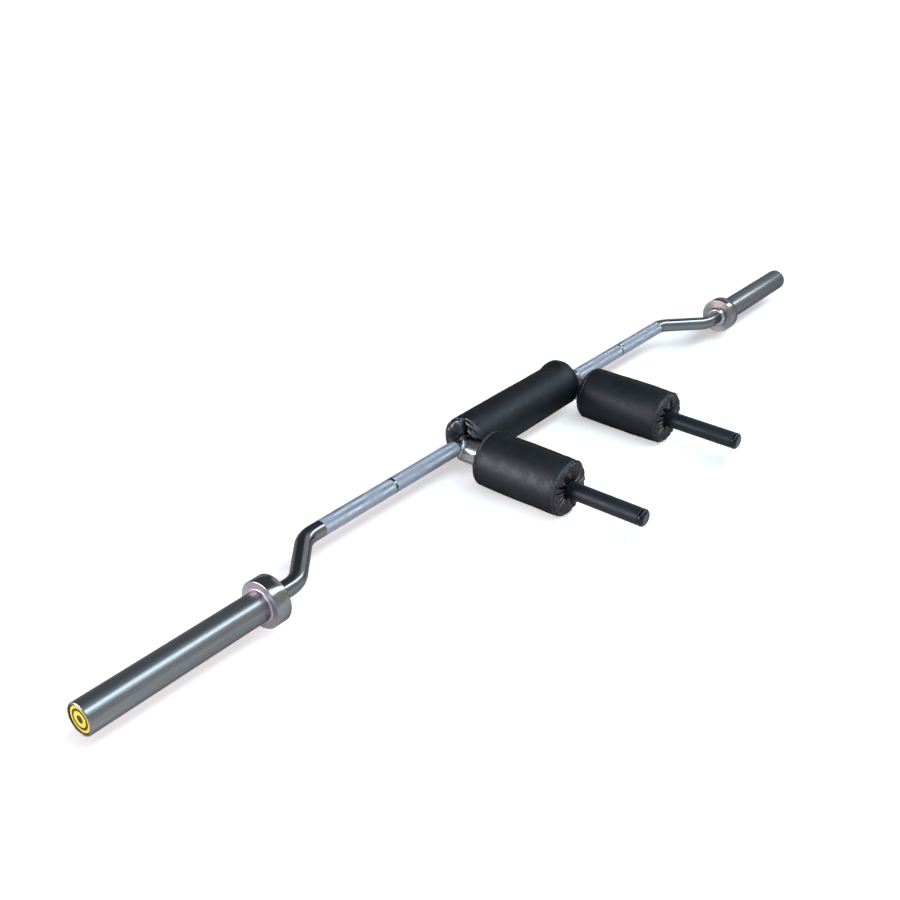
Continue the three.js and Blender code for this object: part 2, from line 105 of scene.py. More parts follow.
sky = bpy.data.worlds.new("studio_sky")
sky.use_nodes = True
sky.node_tree.nodes.clear()
sky_tree = sky.node_tree
sky_way = add_node(sky_tree, "TexCoord")["Generated"]
sky_height = add_node(sky_tree, "SeparateXYZ", links={0: sky_way})["Z"]
sky_share = add_node(
    sky_tree,
    "MapRange",
    {"interpolation_type": "SMOOTHSTEP", "From Min": 0.04, "From Max": 0.24},
    {"Value": sky_height},
)["Result"]
sky_colour = add_node(
    sky_tree,
    "Mix",
    {"data_type": "RGBA", 6: linear("#d2d3d6"), 7: linear("#50565f")},
    {0: sky_share},
)[2]
for wall_way, edge, full, wall_colour in (
    ((0.94, 0.17, 0.29), 0.90, 0.955, "#dde1e5"),
    ((0.76, -0.55, 0.35), 0.80, 0.95, "#bab6b2"),
    ((0.0, -0.85, 0.5), 0.78, 0.93, "#b4bec4"),
):
    toward = add_node(
        sky_tree, "VectorMath", {"operation": "DOT_PRODUCT", 1: Vector(wall_way).normalized()}, {0: sky_way}
    )["Value"]
    wall_share = add_node(
        sky_tree,
        "MapRange",
        {"interpolation_type": "SMOOTHSTEP", "From Min": edge, "From Max": full, "To Max": 0.85},
        {"Value": toward},
    )["Result"]
    sky_colour = add_node(
        sky_tree, "Mix", {"data_type": "RGBA", 7: linear(wall_colour)}, {0: wall_share, 6: sky_colour}
    )[2]
sky_light = add_node(sky_tree, "Background", links={"Color": sky_colour})["Background"]
add_node(sky_tree, "OutputWorld", links={"Surface": sky_light})
bpy.context.scene.world = sky


def add_lamp(name, place, target, width, height, radiance, colour):
    """A flat soft lamp that looks at a target. Its power follows from how bright its face is."""
    lamp = bpy.data.lights.new(name, "AREA")
    lamp.shape = "RECTANGLE"
    lamp.size = width
    lamp.size_y = height
    lamp.energy = radiance * math.pi * width * height
    lamp.color = linear(colour)[:3]
    stand = bpy.data.objects.new(name, lamp)
    bpy.context.scene.collection.objects.link(stand)
    stand.location = place
    stand.rotation_mode = "QUATERNION"
    stand.rotation_quaternion = (target - place).to_track_quat("-Z", "Y")
    return stand


strip_centre = shaft_middle + Vector((1.1, -1.17, 2.2))
strip_target = Vector((strip_centre.x, shaft_middle.y, shaft_middle.z))
add_lamp("strip_lamp", strip_centre, strip_target, 9.0, 0.8, 6.0, "#d6ebf7")
side_centre = shaft_middle + Vector((-3.6, 2.1, 0.85))
add_lamp("side_lamp", side_centre, shaft_middle, 2.4, 1.5, 15.0, "#fff1f1")

half_floor = 30.0
floor_mesh = bpy.data.meshes.new("floor")
floor_mesh.from_pydata(
    [(half_floor * x, half_floor * y, 0) for x, y in ((-1, -1), (1, -1), (1, 1), (-1, 1))], [], [(0, 1, 2, 3)]
)
floor = bpy.data.objects.new("floor", floor_mesh)
floor.location.z = -0.2 * MM
bpy.context.scene.collection.objects.link(floor)
floor_paper, floor_tree = new_material("matt_white_paper")
floor_dull = add_node(floor_tree, "BsdfDiffuse", {"Color": linear("#8c8a88")})["BSDF"]
floor_white = add_node(floor_tree, "BsdfDiffuse", {"Color": linear("#e2dedc")})["BSDF"]
floor_shade = add_node(floor_tree, "BsdfDiffuse", {"Color": linear("#f6f4f3")})["BSDF"]
floor_place = add_node(floor_tree, "TexCoord")["Object"]
floor_stretch = add_node(
    floor_tree, "VectorMath", {"operation": "MULTIPLY", 1: (1.0, 2.4, 1.0)}, {0: floor_place}
)["Vector"]
floor_reach = add_node(floor_tree, "VectorMath", {"operation": "LENGTH"}, {0: floor_stretch})["Value"]
# Floor glow: far out it rises so that the floor stays white where the lamps fall off. Near the middle, a
# brighter pool between the arms is painted light that lifts the pads' shadows.
backdrop_and_painted_pool_by_reach = [
    add_node(
        floor_tree,
        "MapRange",
        {"From Min": near, "From Max": far, "To Min": glow_near, "To Max": glow_far},
        {"Value": floor_reach},
    )["Result"]
    for near, far, glow_near, glow_far in ((1.25, 2.6, 0.31, 1.05), (0.22, 0.52, 0.54, 0.28))
]
backdrop_and_painted_pool_strength = add_node(
    floor_tree, "Math", {"operation": "MAXIMUM"}, {0: backdrop_and_painted_pool_by_reach[0], 1: backdrop_and_painted_pool_by_reach[1]}
)["Value"]
floor_glow = add_node(
    floor_tree, "Emission", {"Color": linear("#ffffff")}, {"Strength": backdrop_and_painted_pool_strength}
)["Emission"]
floor_seen = add_node(floor_tree, "AddShader", links={0: floor_shade, 1: floor_glow})["Shader"]
ray = add_node(floor_tree, "LightPath")
ray_mirrored = add_node(
    floor_tree, "Math", {"operation": "MAXIMUM"}, {0: ray["Is Glossy Ray"], 1: ray["Is Transmission Ray"]}
)["Value"]
floor_mirrored = add_node(
    floor_tree, "MixShader", links={0: ray_mirrored, 1: floor_dull, 2: floor_white}
)["Shader"]
floor_mix = add_node(
    floor_tree, "MixShader", links={0: ray["Is Camera Ray"], 1: floor_mirrored, 2: floor_seen}
)["Shader"]
add_node(floor_tree, "OutputMaterial", links={"Surface": floor_mix})
floor_mesh.materials.append(floor_paper)


# Shaft: one round bar of spring steel, cold bent twice at each side and hard chromed. Its hands' zones are
# knurled by rolls into small diamonds, with a plain ring between them that marks where the hands go. The two
# sides' bends aren't quite alike in the photograph, and each has its own corners here.
def hard_chrome(name, colour, roughness, smudge_mm):
    """Bright chrome plate: mirror bright, with faint smudges that show in its highlights."""
    material, tree = new_material(name)
    place = add_node(tree, "TexCoord")["Object"]
    smudge = add_node(
        tree, "TexNoise", {"Scale": 1 / (smudge_mm * MM), "Detail": 3.0, "Roughness": 0.6}, {"Vector": place}
    )["Fac"]
    rough = add_node(
        tree,
        "MapRange",
        {"From Min": 0.3, "From Max": 0.75, "To Min": roughness * 0.7, "To Max": roughness * 1.7},
        {"Value": smudge},
    )["Result"]
    bump = add_node(tree, "Bump", {"Strength": 0.12, "Distance": 0.2 * MM}, {"Height": smudge})["Normal"]
    metal = add_node(
        tree,
        "BsdfPrincipled",
        {"Base Color": linear(colour), "Metallic": 1.0, "Specular Tint": linear("#a8a4a4")},
        {"Roughness": rough, "Normal": bump},
    )["BSDF"]
    add_node(tree, "OutputMaterial", links={"Surface": metal})
    return material


polished_chrome = hard_chrome("hard_chrome_polished", "#8f9091", 0.17, 34)
knurled_chrome = hard_chrome("hard_chrome_over_knurling", "#bdc0cb", 0.46, 30)


def add_piece(name, points, faces, surfaces, body, face_surfaces=None, flat_from=None, sharp=35):
    """A mesh piece that rides on a body. Faces turn outward, and edges sharper than the angle stay crisp."""
    mesh = bpy.data.meshes.new(name)
    mesh.from_pydata([tuple(p) for p in points], [], faces)
    mesh.validate()
    editable = bmesh.new()
    editable.from_mesh(mesh)
    bmesh.ops.recalc_face_normals(editable, faces=editable.faces)
    editable.to_mesh(mesh)
    editable.free()
    smooth = np.ones(len(mesh.polygons), dtype=bool)
    mesh.polygons.foreach_set("use_smooth", smooth)
    mesh.set_sharp_from_angle(angle=math.radians(sharp))
    for surface in surfaces:
        mesh.materials.append(surface)
    if face_surfaces is not None:
        mesh.polygons.foreach_set("material_index", np.array(face_surfaces, dtype=np.int32))
    if flat_from is not None:
        smooth[flat_from:] = False
        mesh.polygons.foreach_set("use_smooth", smooth)
    mesh.update()
    piece = bpy.data.objects.new(name, mesh)
    bpy.context.scene.collection.objects.link(piece)
    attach(piece, body)
    return piece


def joined_rings(rings, closed_along=False):
    """Faces between rings of equally many points. Open ends are capped."""
    sides = len(rings[0])
    points = [p for ring in rings for p in ring]
    faces = []
    count = len(rings)
    for row in range(count if closed_along else count - 1):
        here = row * sides
        ahead = ((row + 1) % count) * sides
        for column in range(sides):
            beside = (column + 1) % sides
            faces.append((here + column, here + beside, ahead + beside, ahead + column))
    if not closed_along:
        faces.append(tuple(range(sides - 1, -1, -1)))
        faces.append(tuple((count - 1) * sides + column for column in range(sides)))
    return points, faces


shaft_sides = 96
bend_steps = 16
bend_radius = 55 * MM
bend_corners = {"left": (612 * MM, 702 * MM), "right": (593 * MM, 691 * MM)}
sleeve_middle = Vector((0, shaft_low.y + shaft_radius, shaft_low.z + shaft_radius))
stop_low, stop_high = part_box("stop_collar_right")
camber = sleeve_middle - shaft_middle
camber_reach = camber.length
sideways = camber.normalized()


def shaft_station(along, out, angle, radius):
    """A point of the shaft's centre line, its direction there, and the shaft's radius."""
    point = Vector((along, 0, 0)) + shaft_middle + sideways * out
    tangent = Vector((math.cos(angle), 0, 0)) + sideways * math.sin(angle)
    return point, tangent, radius


knurl_inner = 212 * MM
knurl_outer = 573.6 * MM
ring_mark = 393.6 * MM
ring_half = 2.6 * MM
knurl_gap = 0.5 * MM
band_gap = 0.05 * MM
core_radius = 14.0 * MM
journal_radius = 14 * MM
journal_end = shaft_high.x
shoulder = stop_high.x
journal_edge = 1 * MM


def half_shaft(first_corner, second_corner):
    """Stations of one half of the shaft, from beside the middle out to the journal's end."""
    angle = math.atan2(camber_reach, second_corner - first_corner)
    tangent = bend_radius * math.tan(angle / 2)
    made = []
    for start, end in ((knurl_inner, ring_mark - ring_half), (ring_mark + ring_half, knurl_outer)):
        made += [
            shaft_station(start - knurl_gap, 0, 0, shaft_radius),
            shaft_station(start, 0, 0, core_radius),
            shaft_station(end, 0, 0, core_radius),
            shaft_station(end + knurl_gap, 0, 0, shaft_radius),
        ]
    for step in range(bend_steps + 1):
        turn = angle * step / bend_steps
        along = first_corner - tangent + bend_radius * math.sin(turn)
        made.append(shaft_station(along, bend_radius * (1 - math.cos(turn)), turn, shaft_radius))
    for step in range(bend_steps, -1, -1):
        turn = angle * step / bend_steps
        along = second_corner + tangent - bend_radius * math.sin(turn)
        out = camber_reach - bend_radius * (1 - math.cos(turn))
        made.append(shaft_station(along, out, turn, shaft_radius))
    made += [
        shaft_station(shoulder, camber_reach, 0, shaft_radius),
        shaft_station(shoulder, camber_reach, 0, journal_radius),
        shaft_station(journal_end - journal_edge, camber_reach, 0, journal_radius),
        shaft_station(journal_end, camber_reach, 0, journal_radius - journal_edge),
    ]
    return made


right_stations = half_shaft(*bend_corners["right"])
left_stations = [
    (Vector((-point.x, point.y, point.z)), Vector((tangent.x, -tangent.y, -tangent.z)), radius)
    for point, tangent, radius in reversed(half_shaft(*bend_corners["left"]))
]
shaft_rings = []
flat_way = Vector((1, 0, 0)).cross(sideways)
for point, tangent, radius in left_stations + right_stations:
    bend_way = tangent.cross(flat_way)
    shaft_rings.append([
        point + (flat_way * math.cos(a) + bend_way * math.sin(a)) * radius
        for a in (math.tau * side / shaft_sides for side in range(shaft_sides))
    ])
shaft_points, shaft_faces = joined_rings(shaft_rings)

# The diamonds are a little coarser than life, about 1.35 mm instead of 1.2 mm apart, so that they show.
knurl_starts = 68
knurl_peak = 14.67 * MM
knurl_valley = 14.41 * MM
knurl_seat = 14.03 * MM
knurl_diamond = math.tau * shaft_radius / knurl_starts / math.tan(math.radians(30))


def knurl_band(start, end):
    """A closed band of rolled diamonds: its groove crossings are staggered from row to row."""
    rows = round((end - start) / (knurl_diamond / 2))
    pitch = (end - start) / rows

    def around(row, column, shift, radius):
        a = math.tau * (column + shift + 0.5 * (row % 2)) / knurl_starts
        return Vector((start + pitch * row, math.cos(a) * radius, math.sin(a) * radius))

    points = [around(row, c, 0, knurl_valley) for row in range(rows + 1) for c in range(knurl_starts)]
    peaks_from = len(points)
    points += [around(row, c, 0.5, knurl_peak) for row in range(1, rows) for c in range(knurl_starts)]
    seats_from = len(points)
    points += [around(row, c, 0, knurl_seat) for row in (0, rows) for c in range(knurl_starts)]
    faces = []
    for row in range(rows + 1):
        for column in range(knurl_starts):
            beside = row * knurl_starts + (column + 1) % knurl_starts
            here = row * knurl_starts + column
            across = (column + row % 2) % knurl_starts
            ahead = (row + 1) * knurl_starts + across
            behind = (row - 1) * knurl_starts + across
            if 0 < row < rows:
                peak = peaks_from + (row - 1) * knurl_starts + column
                corners = (here, ahead, beside, behind, here)
                faces += [(peak, a, b) for a, b in zip(corners, corners[1:])]
            elif row == 0:
                faces.append((here, ahead, beside))
            else:
                faces.append((here, beside, behind))
    last_shift = rows % 2
    for column in range(knurl_starts):
        beside = (column + 1) % knurl_starts
        first, last = seats_from, seats_from + knurl_starts
        top = rows * knurl_starts
        faces.append((column, beside, first + beside, first + column))
        faces.append((top + column, last + column, last + beside, top + beside))
        far = (column - last_shift) % knurl_starts
        faces.append((first + column, first + beside, last + (far + 1) % knurl_starts, last + far))
    return [p + shaft_middle for p in points], faces


flat_from = len(shaft_faces)
for sign in (-1, 1):
    for start, end in ((knurl_inner, ring_mark - ring_half), (ring_mark + ring_half, knurl_outer)):
        low, high = sorted((sign * (start + band_gap), sign * (end - band_gap)))
        band_points, band_faces = knurl_band(low, high)
        offset = len(shaft_points)
        shaft_points += band_points
        shaft_faces += [tuple(index + offset for index in face) for face in band_faces]
shaft = add_piece(
    "shaft_with_knurling",
    shaft_points,
    shaft_faces,
    [polished_chrome, knurled_chrome],
    "bar",
    face_surfaces=[0] * flat_from + [1] * (len(shaft_faces) - flat_from),
    flat_from=flat_from,
)
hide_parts("bar_shaft")


# Arm tubes: wide chromed steel tubes, closed at the root, coped to sit on the shaft's front and welded there.
# The weld is a ground and plated bead whose ripples still show.
def rounded(outline, radius, steps, closed):
    """The outline with its corners rounded, so that machined edges catch the light."""
    count = len(outline)
    made = []
    for index, corner in enumerate(outline):
        if not closed and index in (0, count - 1) or corner[1] == 0:
            made.append(corner)
            continue
        here = Vector(corner)
        before = Vector(outline[index - 1]) - here
        after = Vector(outline[(index + 1) % count]) - here
        cut = min(radius, before.length * 0.45, after.length * 0.45)
        start = here + before.normalized() * cut
        end = here + after.normalized() * cut
        for step in range(steps + 1):
            t = step / steps
            made.append(tuple(start * (1 - t) ** 2 + here * 2 * t * (1 - t) + end * t ** 2))
    return made


def turned(outline, sides, place, closed=True):
    """An outline of (along, radius) points turned round the X axis of a placement."""
    rings = []
    for along, radius in outline:
        ring = []
        for side in range(sides):
            a = math.tau * side / sides
            ring.append(place @ Vector((along, math.cos(a) * radius, math.sin(a) * radius)))
        rings.append(ring)
    points, faces = joined_rings(rings, closed_along=closed)
    return points, faces


def turned_piece(name, outline, rounding, sides, place, surface, body, closed=True, steps=4):
    """A piece turned round its own axis, with rounded edges."""
    points, faces = turned(rounded(outline, rounding, steps, closed), sides, place, closed)
    return add_piece(name, points, faces, [surface], body)


sides_of_bar = (("left", -1), ("right", 1))
arm_low, arm_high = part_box("arm_tube_right")
arm_offset = (arm_low.x + arm_high.x) / 2
arm_axis_z = (arm_low.z + arm_high.z) / 2
arm_radius = (arm_high.x - arm_low.x) / 2
arm_wall = 3 * MM
arm_root_wall = 4 * MM
arm_root = shaft_middle.y - arm_high.y
arm_end = shaft_middle.y - arm_low.y
round_sides = 96
toward_handles = Matrix.Rotation(-math.pi / 2, 4, "Z")
arm_placements = {
    side: Matrix.Translation((sign * arm_offset, shaft_middle.y, arm_axis_z)) @ toward_handles
    for side, sign in sides_of_bar
}
cope_clearance = 0.25 * MM
weld_radius = 4.3 * MM
weld_ripples = 13
satin_chrome = hard_chrome("satin_chrome_on_tube", "#c4c4c6", 0.26, 12)
weld_steps = 120
weld_round = 12
weld_from = math.radians(-14)
weld_ripple = 0.14
weld_probe = 0.02
weld_drop = shaft_middle.z - arm_axis_z
least_reach = 2 * MM
cutter_length = arm_radius * 3
cutter_outline = [
    (-cutter_length / 2, 0.0),
    (-cutter_length / 2, shaft_radius + cope_clearance),
    (cutter_length / 2, shaft_radius + cope_clearance),
    (cutter_length / 2, 0.0),
]


def weld_seam(angle):
    """Where the arm's outside meets the shaft, at an angle round the arm's axis."""
    height = arm_radius * math.sin(angle) - weld_drop
    forward = math.sqrt(max(shaft_radius ** 2 - height ** 2, least_reach ** 2))
    return Vector((forward, arm_radius * math.cos(angle), arm_radius * math.sin(angle)))


for side, sign in sides_of_bar:
    place = arm_placements[side]
    arm = turned_piece(
        f"arm_{side}",
        [
            (arm_root, 0.0),
            (arm_root, arm_radius),
            (arm_end, arm_radius),
            (arm_end, arm_radius - arm_wall),
            (arm_root + arm_root_wall, arm_radius - arm_wall),
            (arm_root + arm_root_wall, 0.0),
        ],
        1.2 * MM,
        round_sides,
        place,
        satin_chrome,
        "bar",
        closed=False,
    )
    cutter_place = Matrix.Translation((sign * arm_offset, shaft_middle.y, shaft_middle.z))
    cutter_points, cutter_faces = turned(cutter_outline, round_sides, cutter_place, False)
    cutter_mesh = bpy.data.meshes.new("cope_cutter")
    cutter_mesh.from_pydata([tuple(p) for p in cutter_points], [], cutter_faces)
    cutter = bpy.data.objects.new("cope_cutter", cutter_mesh)
    bpy.context.scene.collection.objects.link(cutter)
    cope = arm.modifiers.new("cope", "BOOLEAN")
    cope.operation = "DIFFERENCE"
    cope.object = cutter
    bpy.context.view_layer.update()
    coped = bpy.data.meshes.new_from_object(arm.evaluated_get(bpy.context.evaluated_depsgraph_get()))
    arm.modifiers.clear()
    arm.data = coped
    bpy.data.objects.remove(cutter)
    arm.data.set_sharp_from_angle(angle=math.radians(35))
    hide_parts(f"arm_tube_{side}")

    bead_rings = []
    for step in range(weld_steps + 1):
        a = weld_from + (math.pi - weld_from * 2) * step / weld_steps
        here = weld_seam(a)
        tangent = (weld_seam(a + weld_probe) - weld_seam(a - weld_probe)).normalized()
        outward = Vector((0, math.cos(a), math.sin(a)))
        outward = (outward - tangent * outward.dot(tangent)).normalized()
        across = tangent.cross(outward)
        ends = min(1, step / 4, (weld_steps - step) / 4)
        ripple = abs(math.sin(math.pi * weld_ripples * step / weld_steps)) ** 0.5
        radius = weld_radius * (1 - weld_ripple + weld_ripple * ripple) * math.sqrt(max(ends, 0.05))
        bead_rings.append([
            place @ (here + (outward * math.cos(b) + across * math.sin(b)) * radius)
            for b in (math.tau * turn / weld_round for turn in range(weld_round))
        ])
    bead_points, bead_faces = joined_rings(bead_rings)
    bead = add_piece(f"weld_{side}", bead_points, bead_faces, [satin_chrome], "bar")
    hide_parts(f"weld_bead_{side}")


# Handles: a plain steel tube in a socket inside each arm, under a moulded rubber grip that is matt and
# slightly grainy, with a glossier plastic cap pushed into its end.
def moulded(name, colour, roughness, grain_mm, depth_mm, worn):
    """Moulded rubber or plastic: one body colour, a mould grain drawn coarser than life so that it shows, and
    a little wear that greys it."""
    material, tree = new_material(name)
    place = add_node(tree, "TexCoord")["Object"]
    grain = add_node(
        tree, "TexNoise", {"Scale": 1 / (grain_mm * MM), "Detail": 2.0, "Roughness": 0.55}, {"Vector": place}
    )["Fac"]
    patch_mm = 38.5
    patches = add_node(
        tree, "TexNoise", {"Scale": 1 / (patch_mm * MM), "Detail": 4.0, "Roughness": 0.6}, {"Vector": place}
    )["Fac"]
    patch_share = add_node(
        tree, "MapRange", {"From Min": 0.35, "From Max": 0.75}, {"Value": patches}
    )["Result"]
    tint = add_node(
        tree, "Mix", {"data_type": "RGBA", 6: linear(colour), 7: linear(worn)}, {0: patch_share}
    )[2]
    rough = add_node(
        tree,
        "MapRange",
        {"To Min": roughness * 0.85, "To Max": roughness * 1.2},
        {"Value": patch_share},
    )["Result"]
    bump = add_node(tree, "Bump", {"Strength": 0.5, "Distance": depth_mm * MM}, {"Height": grain})["Normal"]
    body = add_node(
        tree,
        "BsdfPrincipled",
        {"IOR": 1.5, "Specular Tint": linear("#dbe4f4")},
        {"Base Color": tint, "Roughness": rough, "Normal": bump},
    )["BSDF"]
    add_node(tree, "OutputMaterial", links={"Surface": body})
    return material


grip_rubber = moulded("nitrile_grip_rubber", "#12141b", 0.5, 0.9, 0.12, "#191c25")
black_plastic = moulded("moulded_black_polyethylene", "#0e0f13", 0.2, 0.7, 0.03, "#14161b")


def plated_steel(name, colour, roughness):
    """Plain zinc plated steel: dull grey with a soft mottle."""
    material, tree = new_material(name)
    place = add_node(tree, "TexCoord")["Object"]
    mottle = add_node(tree, "TexNoise", {"Scale": 1 / (8.3 * MM), "Detail": 3.0}, {"Vector": place})["Fac"]
    rough = add_node(
        tree, "MapRange", {"To Min": roughness * 0.8, "To Max": roughness * 1.25}, {"Value": mottle}
    )["Result"]
    metal = add_node(
        tree, "BsdfPrincipled", {"Base Color": linear(colour), "Metallic": 1.0}, {"Roughness": rough}
    )["BSDF"]
    add_node(tree, "OutputMaterial", links={"Surface": metal})
    return material


def dress(node, surface):
    """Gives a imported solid, which is shown as it is, the finish of its metal."""
    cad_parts[node].data.materials.clear()
    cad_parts[node].data.materials.append(surface)


zinc_plate = plated_steel("zinc_plated_steel", "#9a9ca0", 0.34)
grip_low, grip_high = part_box("handle_grip_right")
cap_low, cap_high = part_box("handle_cap_right")
grip_start = shaft_middle.y - grip_high.y
grip_end = shaft_middle.y - grip_low.y
grip_radius = (grip_high.z - grip_low.z) / 2
cap_tip = shaft_middle.y - cap_low.y
cap_plug = shaft_middle.y - cap_high.y
cap_radius = (cap_high.z - cap_low.z) / 2
handle_radius = 12.7 * MM
handle_bore = 10.2 * MM
fit_gap = 0.3 * MM
grip_taper = 3 * MM
grip_taper_drop = 0.5 * MM
cap_dome = 6.6 * MM
cap_dish = 0.5 * MM
cap_dish_inset = 8.0 * MM
cap_face = cap_tip - 0.2 * MM
cap_shoulder = [
    (cap_face - cap_dome * (1 - math.sin(turn)), cap_radius - cap_dome * (1 - math.cos(turn)))
    for turn in (math.pi / 2 * step / 8 for step in range(9))
]

for side, place in arm_placements.items():
    grip = turned_piece(
        f"grip_{side}",
        [
            (grip_start, handle_radius + fit_gap),
            (grip_start, grip_radius),
            (grip_end - grip_taper, grip_radius),
            (grip_end, grip_radius - grip_taper_drop),
            (grip_end, handle_radius + fit_gap),
        ],
        0.8 * MM,
        round_sides,
        place,
        grip_rubber,
        "bar",
    )
    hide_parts(f"handle_grip_{side}")
    cap_start = grip_end + fit_gap
    cap = turned_piece(
        f"end_cap_{side}",
        [
            (cap_plug, 0.0),
            (cap_plug, handle_bore - fit_gap),
            (cap_start, handle_bore - fit_gap),
            (cap_start, cap_radius),
            *cap_shoulder,
            (cap_face - cap_dish, cap_radius - cap_dish_inset),
            (cap_face - cap_dish, 0.0),
        ],
        0.8 * MM,
        round_sides,
        place,
        black_plastic,
        "bar",
        closed=False,
    )
    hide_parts(f"handle_cap_{side}")
    for inner in (f"handle_tube_{side}", f"handle_socket_{side}"):
        dress(inner, zinc_plate)


# Pad cores: thick rings cut from closed-cell foam, which is matt and dark grey. They are slit, so that they
# can be pushed over the tube, and their covers hide them.
def cellular(name, cell_mm, middle, edge, strength, depth_mm, settings):
    """Foam cells or woven loops: small pits, each darker in its middle and lighter at its raised edge as
    painted shade and light, which leave the surface quite dull. They are drawn coarser than life, so that they
    show."""
    material, tree = new_material(name)
    place = add_node(tree, "TexCoord")["Object"]
    cells = add_node(tree, "TexVoronoi", {"Scale": 1 / (cell_mm * MM)}, {"Vector": place})["Distance"]
    bump = add_node(
        tree, "Bump", {"Strength": strength, "Distance": depth_mm * MM}, {"Height": cells}
    )["Normal"]
    # Painted shade and light: the pits' middles are darker and their raised edges lighter.
    tint = add_node(
        tree, "Mix", {"data_type": "RGBA", 6: linear(middle), 7: linear(edge)}, {0: cells}
    )[2]
    body = add_node(tree, "BsdfPrincipled", settings, {"Base Color": tint, "Normal": bump})["BSDF"]
    add_node(tree, "OutputMaterial", links={"Surface": body})
    return material


foam = cellular("closed_cell_foam", 1.4, "#2c2c2e", "#3c3c3f", 0.6, 0.4, {"Roughness": 0.95})
pad_low, pad_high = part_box("shoulder_foam_right")
pad_foam_start = shaft_middle.y - pad_high.y
pad_foam_end = shaft_middle.y - pad_low.y
pad_foam_radius = (pad_high.z - pad_low.z) / 2
for side, place in arm_placements.items():
    core = turned_piece(
        f"foam_core_{side}",
        [
            (pad_foam_start, arm_radius + fit_gap),
            (pad_foam_start, pad_foam_radius),
            (pad_foam_end, pad_foam_radius),
            (pad_foam_end, arm_radius + fit_gap),
        ],
        3 * MM,
        round_sides,
        place,
        foam,
        "bar",
    )
    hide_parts(f"shoulder_foam_{side}")


# Shoulder pad covers: black upholstery vinyl, a tube sewn to a strip at each end that elastic gathers into
# pleats. The foam swells it tight between its seams, and the pleats puff out between their creases.
def upholstery_vinyl(name, colour, roughness, sheen_colour, gloss, shine="#d9e4f1"):
    """Calendered vinyl: a satin black skin with rubbed, lighter patches. Its leather grain is drawn coarser
    than life, so that it shows, and holds back the gloss where the skin turns away."""
    material, tree = new_material(name)
    place = add_node(tree, "TexCoord")["Object"]
    grain_mm = 1.1
    grain = add_node(
        tree,
        "TexVoronoi",
        {"Scale": 1 / (grain_mm * MM), "feature": "SMOOTH_F1", "Smoothness": 0.6},
        {"Vector": place},
    )["Distance"]
    creases = add_node(
        tree,
        "TexNoise",
        {"Scale": 1 / (16 * MM), "Detail": 5.0, "Roughness": 0.55, "Distortion": 0.6},
        {"Vector": place},
    )["Fac"]
    patches = add_node(tree, "TexNoise", {"Scale": 1 / (60 * MM), "Detail": 3.0}, {"Vector": place})["Fac"]
    patch_share = add_node(
        tree, "MapRange", {"From Min": 0.35, "From Max": 0.7}, {"Value": patches}
    )["Result"]
    tint = add_node(
        tree, "Mix", {"data_type": "RGBA", 6: linear(colour), 7: linear(sheen_colour)}, {0: patch_share}
    )[2]
    rough = add_node(
        tree,
        "MapRange",
        {"From Min": 0.3, "From Max": 0.7, "To Min": roughness * 0.88, "To Max": roughness * 1.12},
        {"Value": creases},
    )["Result"]
    fine = add_node(tree, "Bump", {"Strength": 0.35, "Distance": 0.12 * MM}, {"Height": grain})["Normal"]
    bump = add_node(
        tree, "Bump", {"Strength": 0.4, "Distance": 1.2 * MM}, {"Height": creases, "Normal": fine}
    )["Normal"]
    facing = add_node(tree, "LayerWeight", {"Blend": 0.5})["Facing"]
    gloss_level = add_node(
        tree,
        "MapRange",
        {"From Min": 0.1, "From Max": 0.8, "To Min": gloss, "To Max": gloss * 0.06},
        {"Value": facing},
    )["Result"]
    body = add_node(
        tree,
        "BsdfPrincipled",
        {"IOR": 1.5, "Specular Tint": linear(shine)},
        {"Base Color": tint, "Roughness": rough, "Normal": bump, "Specular IOR Level": gloss_level},
    )["BSDF"]
    add_node(tree, "OutputMaterial", links={"Surface": body})
    return material


vinyl = upholstery_vinyl("black_upholstery_vinyl", "#0a0b0f", 0.56, "#101217", 0.78)
# The gathered ends' vinyl is glossier, as it is pulled tight, and lighter, which is painted light on the
# pleats.
pulled_vinyl_painted_lighter = upholstery_vinyl("black_vinyl_pulled_into_pleats_painted_lighter", "#1f1d21", 0.27, "#2d2b30", 1.0, "#fbeeea")
bunched_vinyl = upholstery_vinyl("black_vinyl_bunched_by_the_arm", "#0c0d11", 0.33, "#121419", 1.0)
# The piping's lighter grey is a painted highlight along the seams.
piping_vinyl_painted_lighter = upholstery_vinyl("black_vinyl_piping_painted_lighter", "#37363c", 0.27, "#424147", 1.0, "#fbeeea")
thread_material = moulded("bonded_black_thread", "#0f1013", 0.6, 0.4, 0.05, "#17181b")


